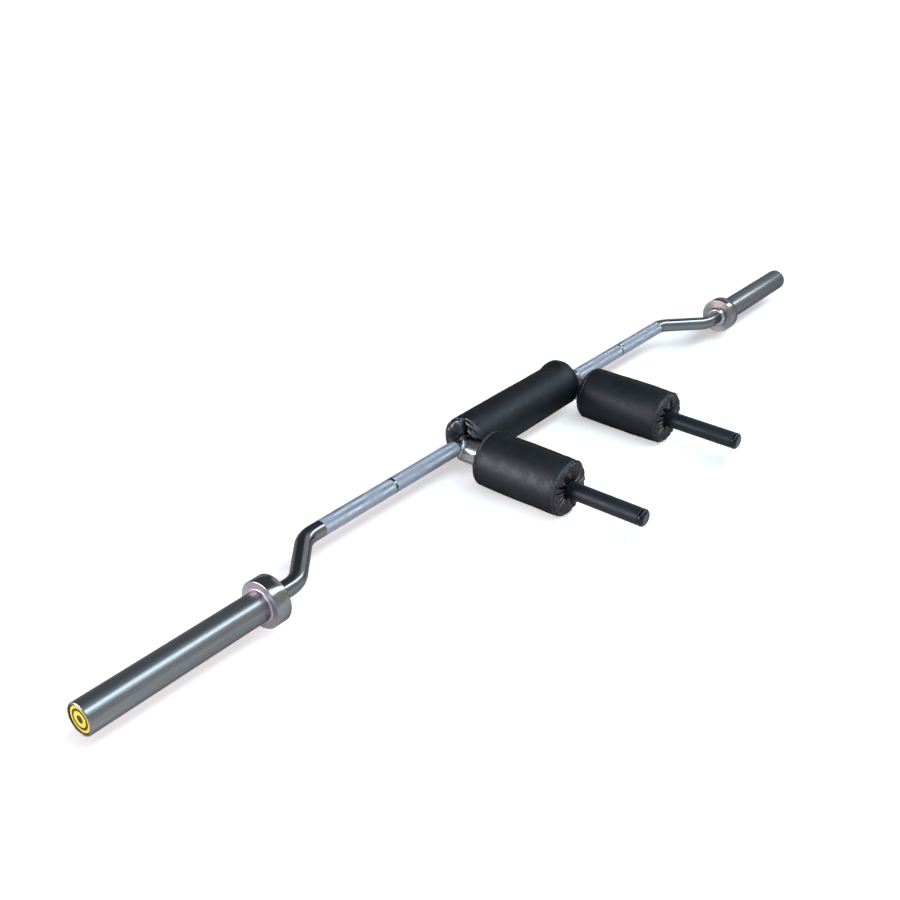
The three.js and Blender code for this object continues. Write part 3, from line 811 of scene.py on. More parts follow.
def puffed(points, faces, held, pressure, reach):
    """Cloth inflated over the padding: held points stay, and no point moves farther than its reach."""
    mesh = bpy.data.meshes.new("cloth")
    mesh.from_pydata([tuple(p) for p in points], [], faces)
    cloth_piece = bpy.data.objects.new("cloth", mesh)
    bpy.context.scene.collection.objects.link(cloth_piece)
    group = cloth_piece.vertex_groups.new(name="held")
    for index, weight in held.items():
        group.add([index], weight, "REPLACE")
    cloth = cloth_piece.modifiers.new("cloth", "CLOTH")
    settings = cloth.settings
    settings.quality = 5
    settings.mass = 0.25
    settings.tension_stiffness = 30
    settings.compression_stiffness = 12
    settings.shear_stiffness = 8
    settings.bending_stiffness = 0.6
    settings.air_damping = 2.0
    settings.use_pressure = True
    settings.uniform_pressure_force = pressure
    settings.vertex_group_mass = "held"
    settings.effector_weights.gravity = 0
    frames = 20
    cloth.point_cache.frame_start = 1
    cloth.point_cache.frame_end = frames
    for step in range(1, frames + 1):
        bpy.context.scene.frame_set(step)
    evaluated = cloth_piece.evaluated_get(bpy.context.evaluated_depsgraph_get())
    moved = [v.co.copy() for v in evaluated.data.vertices]
    bpy.data.objects.remove(cloth_piece)
    bpy.context.scene.frame_set(1)
    result = []
    for before, after, most in zip(points, moved, reach):
        step = after - Vector(before)
        if step.length > most:
            step = step.normalized() * most
        result.append(Vector(before) + step)
    return result


def end_bulge(t):
    """How far a gathered end stands out, from its seam (0) to its throat (1), as a share."""
    return (1 - (1 - t) ** 8) * (1 - 0.7 * t ** 4)


def pleat_share(t):
    return min(1, (t / 0.34) ** 0.75) * (1 - 0.45 * max(0, (t - 0.8) / 0.2))


class Gathers:
    """The pleats of one end: each has its own depth, width and lean."""

    def __init__(self, count, depth, seed):
        generator = random.Random(seed)
        self.count = count
        self.depth = depth
        self.depths = [generator.uniform(0.35, 1.35) for _ in range(count)]
        self.sway = [
            (generator.uniform(0.05, 0.10), generator.uniform(0, math.tau), waves) for waves in (2, 3, 5)
        ]
        self.lean = generator.uniform(0.10, 0.22)

    def fold(self, angle, t):
        """Depth of the fold at an angle: 0 on a ridge, and in a crease the pleat's own depth."""
        sway = sum(size * math.sin(waves * angle + phase) for size, phase, waves in self.sway)
        place = ((angle + self.lean * t + sway) / math.tau * self.count) % self.count
        index = int(place)
        share = place - index
        crease = 1 - abs(math.sin(math.pi * share)) ** 0.7
        depth = self.depths[index] * (1 - share) + self.depths[(index + 1) % self.count] * share
        return crease * depth


pad_columns = 216
body_rows = 44
end_rows = 16
pad_seams_inner = {"left": 65 * MM, "right": 60 * MM}
pad_seam_outer = 231.4 * MM
pad_radius = 53.1 * MM
cover_pressure = 3.0
throat_hold = 1.0
seam_hold = 0.6
body_reach = 0.6 * MM
end_reach = 2.6 * MM
pad_crown = 0.7 * MM
seam_dip = 1.1 * MM
seam_dip_width = 4.5 * MM
near_end_puff = 11 * MM
far_end_puff = 10 * MM
welt_lift = 0.4 * MM
pleat_pull = 0.45 * MM
pleat_pull_reach = 9 * MM
wave_depth = 0.7 * MM
waves_per_metre = 22
ripple_depth = 0.25 * MM
ripples_per_metre = 60
strain_depth = 1.2 * MM
strains_per_metre = 26
strain_reach = 52 * MM
strain_twist = 55 * MM
lining_radius = 51.2 * MM
lining_inset = 1.5 * MM
welt_cord = 0.9 * MM
welt_sides = 8
thread_sides = 6
stitch_path = ((0, -0.8), (0.25, 0.3), (0.75, 0.3), (1, -0.8))
stitch_length = 3.0 * MM
stitch_gap = 1.2 * MM
thread_radius = 0.35 * MM
stitch_probe = 0.4 * MM
stitch_clearance = 0.5 * MM
throat_inner = arm_radius + fit_gap
throat_outer = grip_radius + fit_gap


def slow_form(along, turn, spread):
    """A smooth random height over a tube, from a place along it and an angle round it."""
    return noise.noise(Vector((along, math.cos(turn) * spread, math.sin(turn) * spread)))


def pad_body_radius(share, angle, gathers_near, gathers_far, length, seed):
    """Radius of the tube between the seams: a slight crown, a dip at each seam and pulls from the pleats."""
    near = share * length
    far = (1 - share) * length
    crown = pad_crown * (1 - (share * 2 - 1) ** 2)
    dip = seam_dip * (math.exp(-near / seam_dip_width) + math.exp(-far / seam_dip_width))
    pull = pleat_pull * sum(
        gathers.fold(angle, 0) * math.exp(-away / pleat_pull_reach)
        for gathers, away in ((gathers_near, near), (gathers_far, far))
    )
    wave = slow_form(near * waves_per_metre + seed, angle, 1.5)
    ripple_place = Vector((near * ripples_per_metre, math.cos(angle) * 4 + seed, math.sin(angle) * 4))
    strain = slow_form(far * strains_per_metre + seed, angle + far / strain_twist, 5.5)
    drawn = strain_depth * (1 - abs(strain)) ** 4 * math.exp(-far / strain_reach)
    return crown - dip - pull - drawn + wave_depth * wave + ripple_depth * noise.noise(ripple_place)


def sewn_rows(body_count):
    """Rows of (part, share): the far end from throat to seam, the body, the near end from seam to throat."""
    rows = [("far", 1 - step / end_rows) for step in range(end_rows)]
    rows += [("body", step / body_count) for step in range(body_count + 1)]
    rows += [("near", (step + 1) / end_rows) for step in range(end_rows)]
    return rows


def row_faces(rows, columns, close=False):
    """Faces between rows of a tube, and from its last row back to its first where it closes."""
    faces = []
    for row in range(rows if close else rows - 1):
        ahead = (row + 1) % rows
        for column in range(columns):
            beside = (column + 1) % columns
            faces.append((
                row * columns + column,
                ahead * columns + column,
                ahead * columns + beside,
                row * columns + beside,
            ))
    return faces


def sewn_cover(name, rows, points, columns, lining, node, end_vinyl):
    """The cover's skin is puffed as cloth, held at its throats and seams, and closed by its lining."""
    held = {}
    reach = []
    for row, (part, share) in enumerate(rows):
        reach += [body_reach if part == "body" else end_reach] * columns
        at_throat = part != "body" and share > 0.93
        at_seam = part == "body" and share in (0, 1)
        weight = throat_hold if at_throat else seam_hold if at_seam else 0.0
        if weight:
            for column in range(columns):
                held[row * columns + column] = weight
    puffed_points = puffed(points, row_faces(len(rows), columns), held, cover_pressure, reach)
    for point in puffed_points:
        point.z = max(point.z, 0.0)
    closed_points = puffed_points + [point for ring in lining for point in ring]
    closed_faces = row_faces(len(rows) + len(lining), columns, close=True)
    parts = [part for part, _ in rows]
    # Rows of the gathered ends take the end vinyl; on the shoulder pads it is painted lighter.
    lighter_end_rows = [int("body" not in pair) for pair in zip(parts, parts[1:])] + [0] * (len(lining) + 1)
    cover = add_piece(
        name,
        closed_points,
        closed_faces,
        [vinyl, end_vinyl],
        "bar",
        face_surfaces=[lighter_end_rows[index // columns] for index in range(len(closed_faces))],
        sharp=80,
    )
    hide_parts(node)
    return puffed_points


def away_from_axis(ring, centre, way):
    """For each point of a ring, the direction straight away from an axis."""
    offsets = [point - centre for point in ring]
    return [(offset - way * offset.dot(way)).normalized() for offset in offsets]


def welt(name, ring, outward):
    """The rolled edge of a seam: a thin cord of vinyl that follows the seam's own points."""
    count = len(ring)
    rings = []
    for index, point in enumerate(ring):
        tangent = (ring[(index + 1) % count] - ring[index - 1]).normalized()
        side_way = tangent.cross(outward[index]).normalized()
        up_way = side_way.cross(tangent)
        rings.append([
            point + (up_way * math.cos(b) + side_way * math.sin(b)) * welt_cord
            for b in (math.tau * turn / welt_sides for turn in range(welt_sides))
        ])
    points, faces = joined_rings(rings, closed_along=True)
    # The cord's lighter grey vinyl is a painted highlight along the seam.
    return add_piece(name, points, faces, [piping_vinyl_painted_lighter], "bar")


def stitches(name, ring, outward):
    """Lock stitches laid along a ring of points. The path of each gives shares of its length, with the
    thread's height there in thread radii, so that it dives at both ends."""
    lengths = [0.0]
    count = len(ring)
    for index in range(count):
        lengths.append(lengths[-1] + (ring[(index + 1) % count] - ring[index]).length)
    total = lengths[-1]
    number = int(total / (stitch_length + stitch_gap))
    points, faces = [], []

    def at(distance):
        distance %= total
        index = min(int(np.searchsorted(lengths, distance, side="right")) - 1, count - 1)
        share = (distance - lengths[index]) / max(lengths[index + 1] - lengths[index], 1e-9)
        return (
            ring[index].lerp(ring[(index + 1) % count], share),
            outward[index].lerp(outward[(index + 1) % count], share),
        )

    for number_of in range(number):
        start = total * number_of / number
        rings = []
        for step, lift in stitch_path:
            point, out = at(start + stitch_length * step)
            ahead, _ = at(start + stitch_length * step + stitch_probe)
            tangent = (ahead - point).normalized()
            side_way = tangent.cross(out).normalized()
            rings.append([
                point + (out * (math.cos(b) + lift) + side_way * math.sin(b)) * thread_radius
                for b in (math.tau * turn / thread_sides for turn in range(thread_sides))
            ])
        stitch_points, stitch_faces = joined_rings(rings)
        offset = len(points)
        points += stitch_points
        faces += [tuple(index + offset for index in face) for face in stitch_faces]
    return add_piece(name, points, faces, [thread_material], "bar")


for side, place in arm_placements.items():
    seed = 11 if side == "left" else 29
    near_gathers = Gathers(15, 3.4 * MM, seed)
    far_gathers = Gathers(17, 8.6 * MM, seed + 1)
    pad_seam_inner = pad_seams_inner[side]
    length = pad_seam_outer - pad_seam_inner
    rows = sewn_rows(body_rows)
    cover_points = []
    for kind, share in rows:
        for column in range(pad_columns):
            angle = math.tau * column / pad_columns
            if kind == "body":
                along = pad_seam_outer - length * share
                radius = pad_radius + pad_body_radius(
                    1 - share, angle, near_gathers, far_gathers, length, seed
                )
            else:
                gathers, seam, throat, bulge, outward_sign, seam_share = (
                    (near_gathers, pad_seam_inner, throat_inner, near_end_puff, -1, 0)
                    if kind == "near"
                    else (far_gathers, pad_seam_outer, throat_outer, far_end_puff, 1, 1)
                )
                edge = pad_radius + pad_body_radius(
                    seam_share, angle, near_gathers, far_gathers, length, seed
                )
                fold = gathers.fold(angle, share) * gathers.depth * pleat_share(share)
                along = seam + outward_sign * (bulge * end_bulge(share) - fold)
                radius = edge + (throat - edge) * share + fold * 0.25
            cover_points.append(place @ Vector((along, math.cos(angle) * radius, math.sin(angle) * radius)))
    lining = [
        [
            place @ Vector((along, math.cos(angle) * radius, math.sin(angle) * radius))
            for angle in (math.tau * column / pad_columns for column in range(pad_columns))
        ]
        for along, radius in (
            (pad_seam_inner + lining_inset, throat_inner),
            (pad_seam_inner + lining_inset, lining_radius),
            (pad_seam_outer - lining_inset, lining_radius),
            (pad_seam_outer - lining_inset, throat_outer),
        )
    ]
    cover_points = sewn_cover(
        f"vinyl_cover_{side}",
        rows,
        cover_points,
        pad_columns,
        lining,
        f"shoulder_cover_{side}",
        pulled_vinyl_painted_lighter,
    )
    axis_point = place @ Vector((0, 0, 0))
    axis_way = (place.to_3x3() @ Vector((1, 0, 0))).normalized()
    for label, row in (("outer", end_rows), ("inner", end_rows + body_rows)):
        ring = cover_points[row * pad_columns:(row + 1) * pad_columns]
        outward = away_from_axis(ring, axis_point, axis_way)
        raised = [point + out * welt_lift for point, out in zip(ring, outward)]
        for point in raised:
            point.z = max(point.z, welt_cord)
        welt(f"seam_welt_{label}_{side}", raised, outward)
        step = 2 if label == "outer" else -2
        stitch_ring = cover_points[(row + step) * pad_columns:(row + step + 1) * pad_columns]
        lifted = [point.copy() for point in stitch_ring]
        for point in lifted:
            point.z = max(point.z, stitch_clearance)
        stitches(f"seam_stitches_{label}_{side}", lifted, outward)


# Neck pad: the same vinyl over a foam tube on the shaft, a little above its axis. It sits nearer the left
# arm, which pushes the front half of that end in: the vinyl breaks in one deep crease and bunches in long
# folds. At the other end the foam swells over the back edge.
neck_rise = 5.4 * MM
neck_radius = 45.4 * MM
neck_near_seam = -179.5 * MM
neck_far_seam = 154 * MM
neck_length = neck_far_seam - neck_near_seam
neck_throat = shaft_radius + fit_gap
neck_bulge = 7.5 * MM
neck_crown = 0.6 * MM
neck_near_relief = 26 * MM
neck_far_relief = 3 * MM
arm_hold = arm_radius + weld_radius
neck_swell = 4.6 * MM
neck_swell_length = 34 * MM
neck_dip = 0.9 * MM
neck_dip_width = 4 * MM
neck_wave = 0.5 * MM
neck_waves_per_metre = 14
near_fold, near_fold_reach = 1.2 * MM, 20 * MM
far_fold, far_fold_reach = 0.8 * MM, 16 * MM
crease_depth, crease_reach = 13 * MM, 9 * MM
lobe_height = 6 * MM
bunch_depth = 7 * MM
full_rise_radius = 46 * MM
unmoved_half = 20 * MM
neck_columns = 240
neck_body_rows = 72
neck_lining_radius = 41 * MM


def smooth_share(value, start, end):
    t = min(max((value - start) / (end - start), 0), 1)
    return t * t * (3 - 2 * t)


def below_share(angle):
    """1 round the front and underside of the pad, where the arms are in its way, and 0 elsewhere."""
    turn = angle / math.tau
    return smooth_share(turn, 0.43, 0.54) - smooth_share(turn, 0.74, 0.83)


def bunched_share(angle):
    """1 over the front quarter above the arm, where the vinyl bunches, and 0 elsewhere."""
    turn = angle / math.tau
    return smooth_share(turn, 0.24, 0.28) - smooth_share(turn, 0.47, 0.54)


def neck_crease_at(angle, share):
    """The deep crease that leans from the top of the near rim forward and down to the shaft."""
    return crease_depth * math.exp(-((angle / math.tau - 0.215 - 0.09 * share) / 0.02) ** 2)


def lobe_at(angle, share):
    """The puffed fold behind the crease, whose middle stands out and catches the light."""
    across = (angle / math.tau - 0.085) / 0.09
    return lobe_height * max(1 - across ** 2, 0) * max(1 - ((share - 0.42) / 0.42) ** 2, 0)


def neck_swell_at(angle):
    return neck_swell * max(math.cos(angle - math.radians(62)), 0) ** 1.2


def neck_point(along, radius, angle):
    near_reach = smooth_share(-along, -unmoved_half, -neck_near_seam)
    far_reach = smooth_share(along, unmoved_half, neck_far_seam)
    x = along + below_share(angle) * (neck_near_relief * near_reach - neck_far_relief * far_reach)
    out_share = (radius - neck_throat) / (full_rise_radius - neck_throat)
    across = Vector((0, radius * math.cos(angle), radius * math.sin(angle) + neck_rise * out_share))
    point = Vector((x, 0, 0)) + across + shaft_middle
    above_arm = abs(point.z - arm_axis_z)
    past_shaft = smooth_share(shaft_middle.y - point.y, -3 * MM, 2 * MM)
    if past_shaft > 0 and above_arm < arm_hold:
        limit = arm_offset - math.sqrt(arm_hold ** 2 - above_arm ** 2)
        over = max(abs(point.x) - limit, 0)
        point.x -= math.copysign(over * past_shaft, point.x)
    return point


neck_near_gathers = Gathers(9, 3.4 * MM, 5)
neck_far_gathers = Gathers(12, 3.2 * MM, 8)
neck_points = []
neck_rows = sewn_rows(neck_body_rows)
for kind, share in neck_rows:
    for column in range(neck_columns):
        angle = math.tau * column / neck_columns
        bunched = bunched_share(angle)
        if kind == "body":
            along = neck_near_seam + neck_length * (1 - share)
            near = neck_length * (1 - share)
            far = neck_length * share
            crown = neck_crown * (1 - (share * 2 - 1) ** 2)
            dip = neck_dip * (math.exp(-near / neck_dip_width) + math.exp(-far / neck_dip_width))
            wave_place = (along * neck_waves_per_metre, math.cos(angle) * 1.2, math.sin(angle) * 1.2 + 7)
            swell = neck_swell_at(angle) * smooth_share(-far, -neck_swell_length, -5 * MM)
            folds = near_fold * neck_near_gathers.fold(angle, 0.2) * math.exp(-near / near_fold_reach)
            folds += far_fold * neck_far_gathers.fold(angle, 0.2) * math.exp(-far / far_fold_reach)
            crease = neck_crease_at(angle, 0) * math.exp(-near / crease_reach) * 0.5
            wave = neck_wave * noise.noise(Vector(wave_place))
            radius = neck_radius + crown - dip - folds - crease + wave + swell
        elif kind == "near":
            pleat = neck_near_gathers.fold(angle, share) * neck_near_gathers.depth * pleat_share(share)
            bunch = abs(math.sin(math.pi * (2.4 * share + 2.2 * (angle / math.tau - 0.27)))) ** 0.6
            fold = pleat * (1 - bunched) * 0.35 + (1 - bunch) * bunch_depth * bunched * min(1, share * 5)
            crease = neck_crease_at(angle, share) * min(1, share * 2.4 + 0.3)
            puff = neck_bulge * end_bulge(share) + lobe_at(angle, share)
            along = neck_near_seam - puff + fold + crease
            radius = neck_radius + (neck_throat - neck_radius) * share
        else:
            fold = neck_far_gathers.fold(angle, share) * neck_far_gathers.depth * pleat_share(share)
            edge = neck_radius + neck_swell_at(angle)
            along = neck_far_seam + neck_bulge * end_bulge(share) - fold
            radius = edge + (neck_throat - edge) * share
        neck_points.append(neck_point(along, radius, angle))


def neck_inside(inset, radius, columns):
    """Rings that follow the pad's shape at a radius, and turn in to the shaft at both ends."""
    start = neck_near_seam + inset
    stations = [(start + (neck_length - inset * 2) * step / 16, radius) for step in range(17)]
    return [
        [neck_point(along, out, math.tau * column / columns) for column in range(columns)]
        for along, out in [(start, neck_throat), *stations, (neck_far_seam - inset, neck_throat)]
    ]


neck_lining = neck_inside(3 * MM, neck_lining_radius, neck_columns)
neck_points = sewn_cover(
    "vinyl_cover_neck", neck_rows, neck_points, neck_columns, neck_lining, "neck_cover", bunched_vinyl
)
for label, row, step in (("right", end_rows, 2), ("left", end_rows + neck_body_rows, -2)):
    ring = neck_points[row * neck_columns:(row + 1) * neck_columns]
    outward = away_from_axis(ring, shaft_middle + Vector((0, 0, neck_rise)), Vector((1, 0, 0)))
    welt(f"neck_welt_{label}", [point + out * 0.3 * MM for point, out in zip(ring, outward)], outward)
    stitch_ring = neck_points[(row + step) * neck_columns:(row + step + 1) * neck_columns]
    stitches(f"neck_stitches_{label}", stitch_ring, outward)

foam_rings = neck_inside(4 * MM, neck_lining_radius - 0.6 * MM, round_sides)
foam_points, foam_faces = joined_rings(foam_rings, closed_along=True)
neck_core = add_piece("foam_core_neck", foam_points, foam_faces, [foam], "bar")
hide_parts("neck_foam")


# Closure of the neck cover: a woven nylon hook-and-loop strip along the pad's underside, sewn down by its
# edges. It shuts the slit through which the cover is put round the foam.
closure_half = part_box("neck_closure")[1].x
closure_span = math.radians(33)
closure_thickness = 1.5 * MM
closure_seat = 46.25 * MM
closure_rows = 60
closure_turns = 12


closure_weave = {"Roughness": 0.9, "Sheen Weight": 0.2}
hook_and_loop = cellular("woven_nylon_hook_and_loop", 1.2, "#101114", "#1c1d21", 0.8, 0.5, closure_weave)
closure_rings = []
for row in range(closure_rows + 1):
    along = closure_half * (row / closure_rows * 2 - 1)
    ends = min(1, (closure_half - abs(along)) / (8 * MM))
    span = closure_span * (0.72 + 0.28 * math.sqrt(max(1 - (1 - ends) ** 2, 0)))
    ring = []
    for radius, turns in (
        (closure_seat + closure_thickness, range(closure_turns + 1)),
        (closure_seat, range(closure_turns, -1, -1)),
    ):
        for turn in turns:
            angle = math.pi * 1.5 + span * (turn / closure_turns - 0.5)
            ring.append(shaft_middle + Vector((
                along,
                radius * math.cos(angle),
                radius * math.sin(angle) + neck_rise,
            )))
    closure_rings.append(ring)
closure_points, closure_faces = joined_rings(closure_rings)
closure = add_piece("closure_strip", closure_points, closure_faces, [hook_and_loop], "bar")
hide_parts("neck_closure")


# Stop collars, washers and snap rings: a chromed ring pressed on each end of the shaft, then a bronze thrust
# washer, and inside the sleeve a steel washer held by a snap ring.
def oiled_bronze():
    """Sintered bronze soaked in oil: a warm brown metal, dulled by pores that are drawn coarser than life."""
    material, tree = new_material("oiled_sintered_bronze")
    place = add_node(tree, "TexCoord")["Object"]
    pores = add_node(tree, "TexNoise", {"Scale": 1 / (0.8 * MM), "Detail": 4.0}, {"Vector": place})["Fac"]
    tint = add_node(
        tree, "Mix", {"data_type": "RGBA", 6: linear("#8a6a3c"), 7: linear("#b48f58")}, {0: pores}
    )[2]
    bump = add_node(tree, "Bump", {"Strength": 0.4, "Distance": 0.1 * MM}, {"Height": pores})["Normal"]
    metal = add_node(
        tree,
        "BsdfPrincipled",
        {"Metallic": 1.0, "Roughness": 0.38},
        {"Base Color": tint, "Normal": bump},
    )["BSDF"]
    add_node(tree, "OutputMaterial", links={"Surface": metal})
    return material


bronze = oiled_bronze()
stop_radius = (stop_high.y - stop_low.y) / 2
stop_chamfer = 4 * MM
stop_gap = 0.1 * MM
sleeve_placements = {
    "left": Matrix.Translation(sleeve_middle) @ Matrix.Rotation(math.pi, 4, "Z"),
    "right": Matrix.Translation(sleeve_middle),
}
for side, place in sleeve_placements.items():
    stop = turned_piece(
        f"stop_ring_{side}",
        [
            (stop_low.x, shaft_radius + stop_gap),
            (stop_low.x, stop_radius - stop_chamfer),
            (stop_low.x + stop_chamfer, stop_radius),
            (stop_high.x, stop_radius),
            (stop_high.x, shaft_radius + stop_gap),
        ],
        1.2 * MM,
        round_sides,
        place,
        satin_chrome,
        "bar",
    )
    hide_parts(f"stop_collar_{side}")
    for node, surface in (
        (f"thrust_washer_{side}", bronze),
        (f"inner_bushing_{side}", bronze),
        (f"outer_bushing_{side}", bronze),
        (f"end_washer_{side}", zinc_plate),
        (f"snap_ring_{side}", zinc_plate),
    ):
        dress(node, surface)


# Sleeve tubes: drawn steel tube, ground along its length and satin plated, so that fine bright and dark lines
# run along it. Its outer end is chamfered and counterbored for the plug. It spins on its two bushings.
def satin_steel(name, light, dark, roughness, line_mm, along_mm):
    """Steel ground lengthwise: long bright and dark lines, drawn coarser than life so that they show."""
    material, tree = new_material(name)
    place = add_node(tree, "TexCoord")["Object"]
    stretched = add_node(
        tree,
        "Mapping",
        {"Scale": (1 / (along_mm * MM), 1 / (line_mm * MM), 1 / (line_mm * MM))},
        {"Vector": place},
    )["Vector"]
    lines = add_node(
        tree, "TexNoise", {"Scale": 1.0, "Detail": 4.0, "Roughness": 0.65}, {"Vector": stretched}
    )["Fac"]
    line_share = add_node(tree, "MapRange", {"From Min": 0.3, "From Max": 0.7}, {"Value": lines})["Result"]
    tint = add_node(
        tree, "Mix", {"data_type": "RGBA", 6: linear(dark), 7: linear(light)}, {0: line_share}
    )[2]
    rough = add_node(
        tree, "MapRange", {"To Min": roughness * 0.85, "To Max": roughness * 1.25}, {"Value": line_share}
    )["Result"]
    bump = add_node(tree, "Bump", {"Strength": 0.25, "Distance": 0.06 * MM}, {"Height": lines})["Normal"]
    metal = add_node(
        tree,
        "BsdfPrincipled",
        {"Metallic": 0.9, "Specular Tint": linear("#8c8c90")},
        {"Base Color": tint, "Roughness": rough, "Normal": bump},
    )["BSDF"]
    add_node(tree, "OutputMaterial", links={"Surface": metal})
    return material


drawn_steel = satin_steel("satin_plated_drawn_tube", "#9e9d9e", "#858586", 0.29, 2.2, 260)
tube_low, tube_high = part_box("sleeve_tube_right")
bar_end = tube_high.x
sleeve_radius = (tube_high.y - tube_low.y) / 2
sleeve_bore = 19 * MM
sleeve_sides = 128
plug_low, plug_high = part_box("end_plug_right")
plug_flange = (plug_high.z - plug_low.z) / 2
plug_seat = bar_end - 5.9 * MM
sleeve_chamfer = 1.5 * MM
for side, place in sleeve_placements.items():
    tube = turned_piece(
        f"satin_sleeve_{side}",
        [
            (tube_low.x, sleeve_bore),
            (tube_low.x, sleeve_radius),
            (bar_end - sleeve_chamfer, sleeve_radius),
            (bar_end, sleeve_radius - sleeve_chamfer),
            (bar_end, plug_flange + fit_gap),
            (plug_seat, plug_flange + fit_gap),
            (plug_seat, sleeve_bore),
        ],
        0.5 * MM,
        sleeve_sides,
        place,
        drawn_steel,
        f"{side}_sleeve",
        steps=3,
    )
    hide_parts(f"sleeve_tube_{side}")


# Sleeve collars: rings turned from bar on a lathe, whose tool leaves fine rings on both faces, then plated.
# Both rims are chamfered, and the outer face meets the sleeve in a small fillet and is rubbed aslant. The
# outer face is painted lighter and pinker, as painted light, and the inner face darker, as painted shade.
def turned_steel(name, light, dark, roughness, marked, mark_turn):
    """Steel faced on a lathe: rings of tool marks, drawn coarser than life so that they show. They draw out
    the highlights, across the rings or at the angle at which the face was rubbed."""
    material, tree = new_material(name)
    place = add_node(tree, "TexCoord")["Object"]
    centred = add_node(
        tree, "Mapping", {"Location": (0.0, -sleeve_middle.y, -sleeve_middle.z)}, {"Vector": place}
    )["Vector"]
    tool_mark_mm = 1.1
    rings = add_node(
        tree,
        "TexWave",
        {
            "wave_type": "RINGS",
            "rings_direction": "X",
            "Scale": 1 / (tool_mark_mm * MM) / math.tau,
            "Distortion": 0.4,
        },
        {"Vector": centred},
    )["Fac"]
    mottle = add_node(tree, "TexNoise", {"Scale": 1 / (16.7 * MM), "Detail": 3.0}, {"Vector": place})["Fac"]
    tint = add_node(
        tree, "Mix", {"data_type": "RGBA", 6: linear(dark), 7: linear(light)}, {0: mottle}
    )[2]
    bump = add_node(tree, "Bump", {"Strength": 0.3, "Distance": 0.08 * MM}, {"Height": rings})["Normal"]
    round_way = add_node(tree, "Tangent", {"direction_type": "RADIAL", "axis": "X"})["Tangent"]
    metal = add_node(
        tree,
        "BsdfPrincipled",
        {"Metallic": 1.0, "Roughness": roughness, "Anisotropic": marked, "Anisotropic Rotation": mark_turn},
        {"Base Color": tint, "Normal": bump, "Tangent": round_way},
    )["BSDF"]
    add_node(tree, "OutputMaterial", links={"Surface": metal})
    return material


# Painted light and shade: the outer face's steel is lighter and pinker, and the inner face's steel darker, than
# the same plated steel would be.
face_steel_painted_light = turned_steel("turned_steel_painted_light", "#cbc3cb", "#b8b0b8", 0.33, 0.74, 0.425)
back_steel_painted_shade = turned_steel("turned_steel_painted_shade", "#b4b0b0", "#98959a", 0.36, 0.6, 0.25)
collar_rim_steel = hard_chrome("plated_collar_rim", "#a3a2a2", 0.17, 9)
collar_low, collar_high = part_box("sleeve_collar_right")
collar_radius = (collar_high.y - collar_low.y) / 2
collar_inner = collar_low.x
collar_outer = 781 * MM
collar_bore = sleeve_radius + 0.1 * MM
collar_fillet = 2.9 * MM
collar_lip = 5 * MM
lip_bore = 15.2 * MM
groove_count = 7
groove_depth = 0.14 * MM
face_from = collar_bore + collar_fillet + 1.2 * MM
face_to = collar_radius - 2.2 * MM

groove_from = lip_bore + 6 * MM
rim_chamfer = 1.6 * MM
rim_step = 0.5 * MM
rim_drop = 0.7 * MM


def tool_rings(face, depth, first, last):
    """The rings that the lathe's tool leaves on a face between two radii, with four points to a ring."""
    steps = groove_count * 4
    return [
        (face + depth * (0.5 - 0.5 * math.cos(math.pi / 2 * step)), first + (last - first) * step / steps)
        for step in range(steps + 1)
    ]


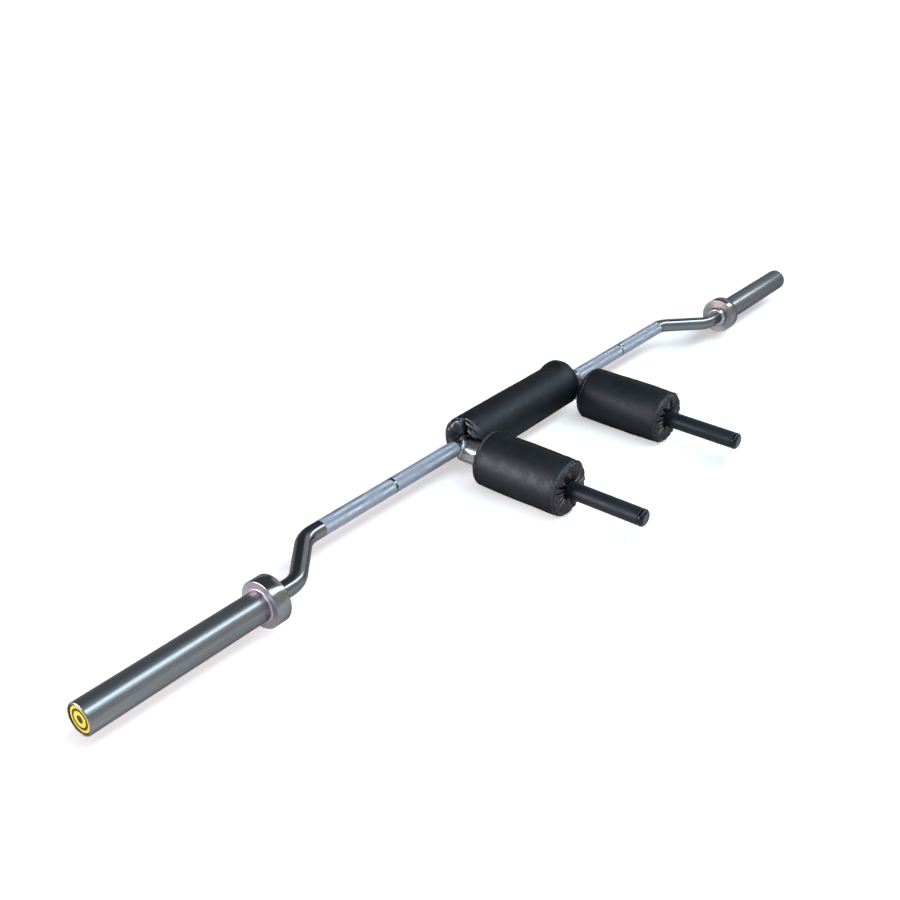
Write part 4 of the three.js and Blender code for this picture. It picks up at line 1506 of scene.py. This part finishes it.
back_outline = [(collar_inner, lip_bore), *tool_rings(collar_inner, groove_depth, groove_from, face_to)]
rim_outline = [
    (collar_inner, collar_radius - rim_chamfer),
    (collar_inner + rim_step, collar_radius - rim_drop),
    (collar_inner + rim_chamfer, collar_radius),
    (collar_outer - rim_chamfer, collar_radius),
    (collar_outer - rim_step, collar_radius - rim_drop),
    (collar_outer, collar_radius - rim_chamfer),
]
face_outline = tool_rings(collar_outer, -groove_depth, face_to, face_from)
face_outline += [
    (
        collar_outer + collar_fillet * (1 - math.cos(turn)),
        collar_bore + collar_fillet * (1 - math.sin(turn)),
    )
    for turn in (math.pi / 2 * step / 8 for step in range(9))
]
face_outline += [(collar_inner + collar_lip, collar_bore), (collar_inner + collar_lip, lip_bore)]
collar_outline = back_outline + rim_outline + face_outline
surface_of_row = [2] * (len(back_outline) + 1) + [1] * (len(rim_outline) - 2) + [0] * (len(face_outline) + 1)

for side, place in sleeve_placements.items():
    points, faces = turned(collar_outline, sleeve_sides, place)
    collar = add_piece(
        f"plate_collar_{side}",
        points,
        faces,
        [face_steel_painted_light, collar_rim_steel, back_steel_painted_shade],
        f"{side}_sleeve",
        face_surfaces=[surface_of_row[index // sleeve_sides] for index in range(len(faces))],
    )
    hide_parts(f"sleeve_collar_{side}")


# End plugs and discs: a black plastic plug pushed into the sleeve's end carries a glossy yellow disc of
# moulded acrylic, which is plain but for a black ring and a black centre.
yellow_acrylic = moulded("glossy_yellow_acrylic", "#f4d410", 0.25, 2.0, 0.01, "#f9dd24")
disc_low, disc_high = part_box("end_disc_right")
disc_radius = (disc_high.z - disc_low.z) / 2
disc_face = disc_high.x
disc_seat = disc_low.x
for side, place in sleeve_placements.items():
    plug = turned_piece(
        f"plastic_plug_{side}",
        [
            (plug_low.x, 0.0),
            (plug_low.x, sleeve_bore - fit_gap),
            (plug_seat + fit_gap, sleeve_bore - fit_gap),
            (plug_seat + fit_gap, plug_flange),
            (plug_high.x, plug_flange),
            (plug_high.x, disc_radius + fit_gap),
            (disc_seat - fit_gap, disc_radius + fit_gap),
            (disc_seat - fit_gap, 0.0),
        ],
        0.4 * MM,
        round_sides,
        place,
        black_plastic,
        f"{side}_sleeve",
        closed=False,
    )
    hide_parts(f"end_plug_{side}")
    disc_outline = [(disc_seat, 0.0), (disc_seat, disc_radius), (disc_face - 0.3 * MM, disc_radius)]
    ring_shares = [0.985, 0.80, 0.60, 0.30, 0.0]
    for share in ring_shares:
        disc_outline.append((disc_face - 0.25 * MM * share ** 4, disc_radius * share))
    points, faces = turned(disc_outline, round_sides, place, False)
    black_rows = (4, 6)
    disc_faces = [1 if face_row // round_sides in black_rows else 0 for face_row in range(len(faces))]
    disc = add_piece(
        f"plain_disc_{side}",
        points,
        faces,
        [yellow_acrylic, black_plastic],
        f"{side}_sleeve",
        face_surfaces=disc_faces,
    )
    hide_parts(f"end_disc_{side}")
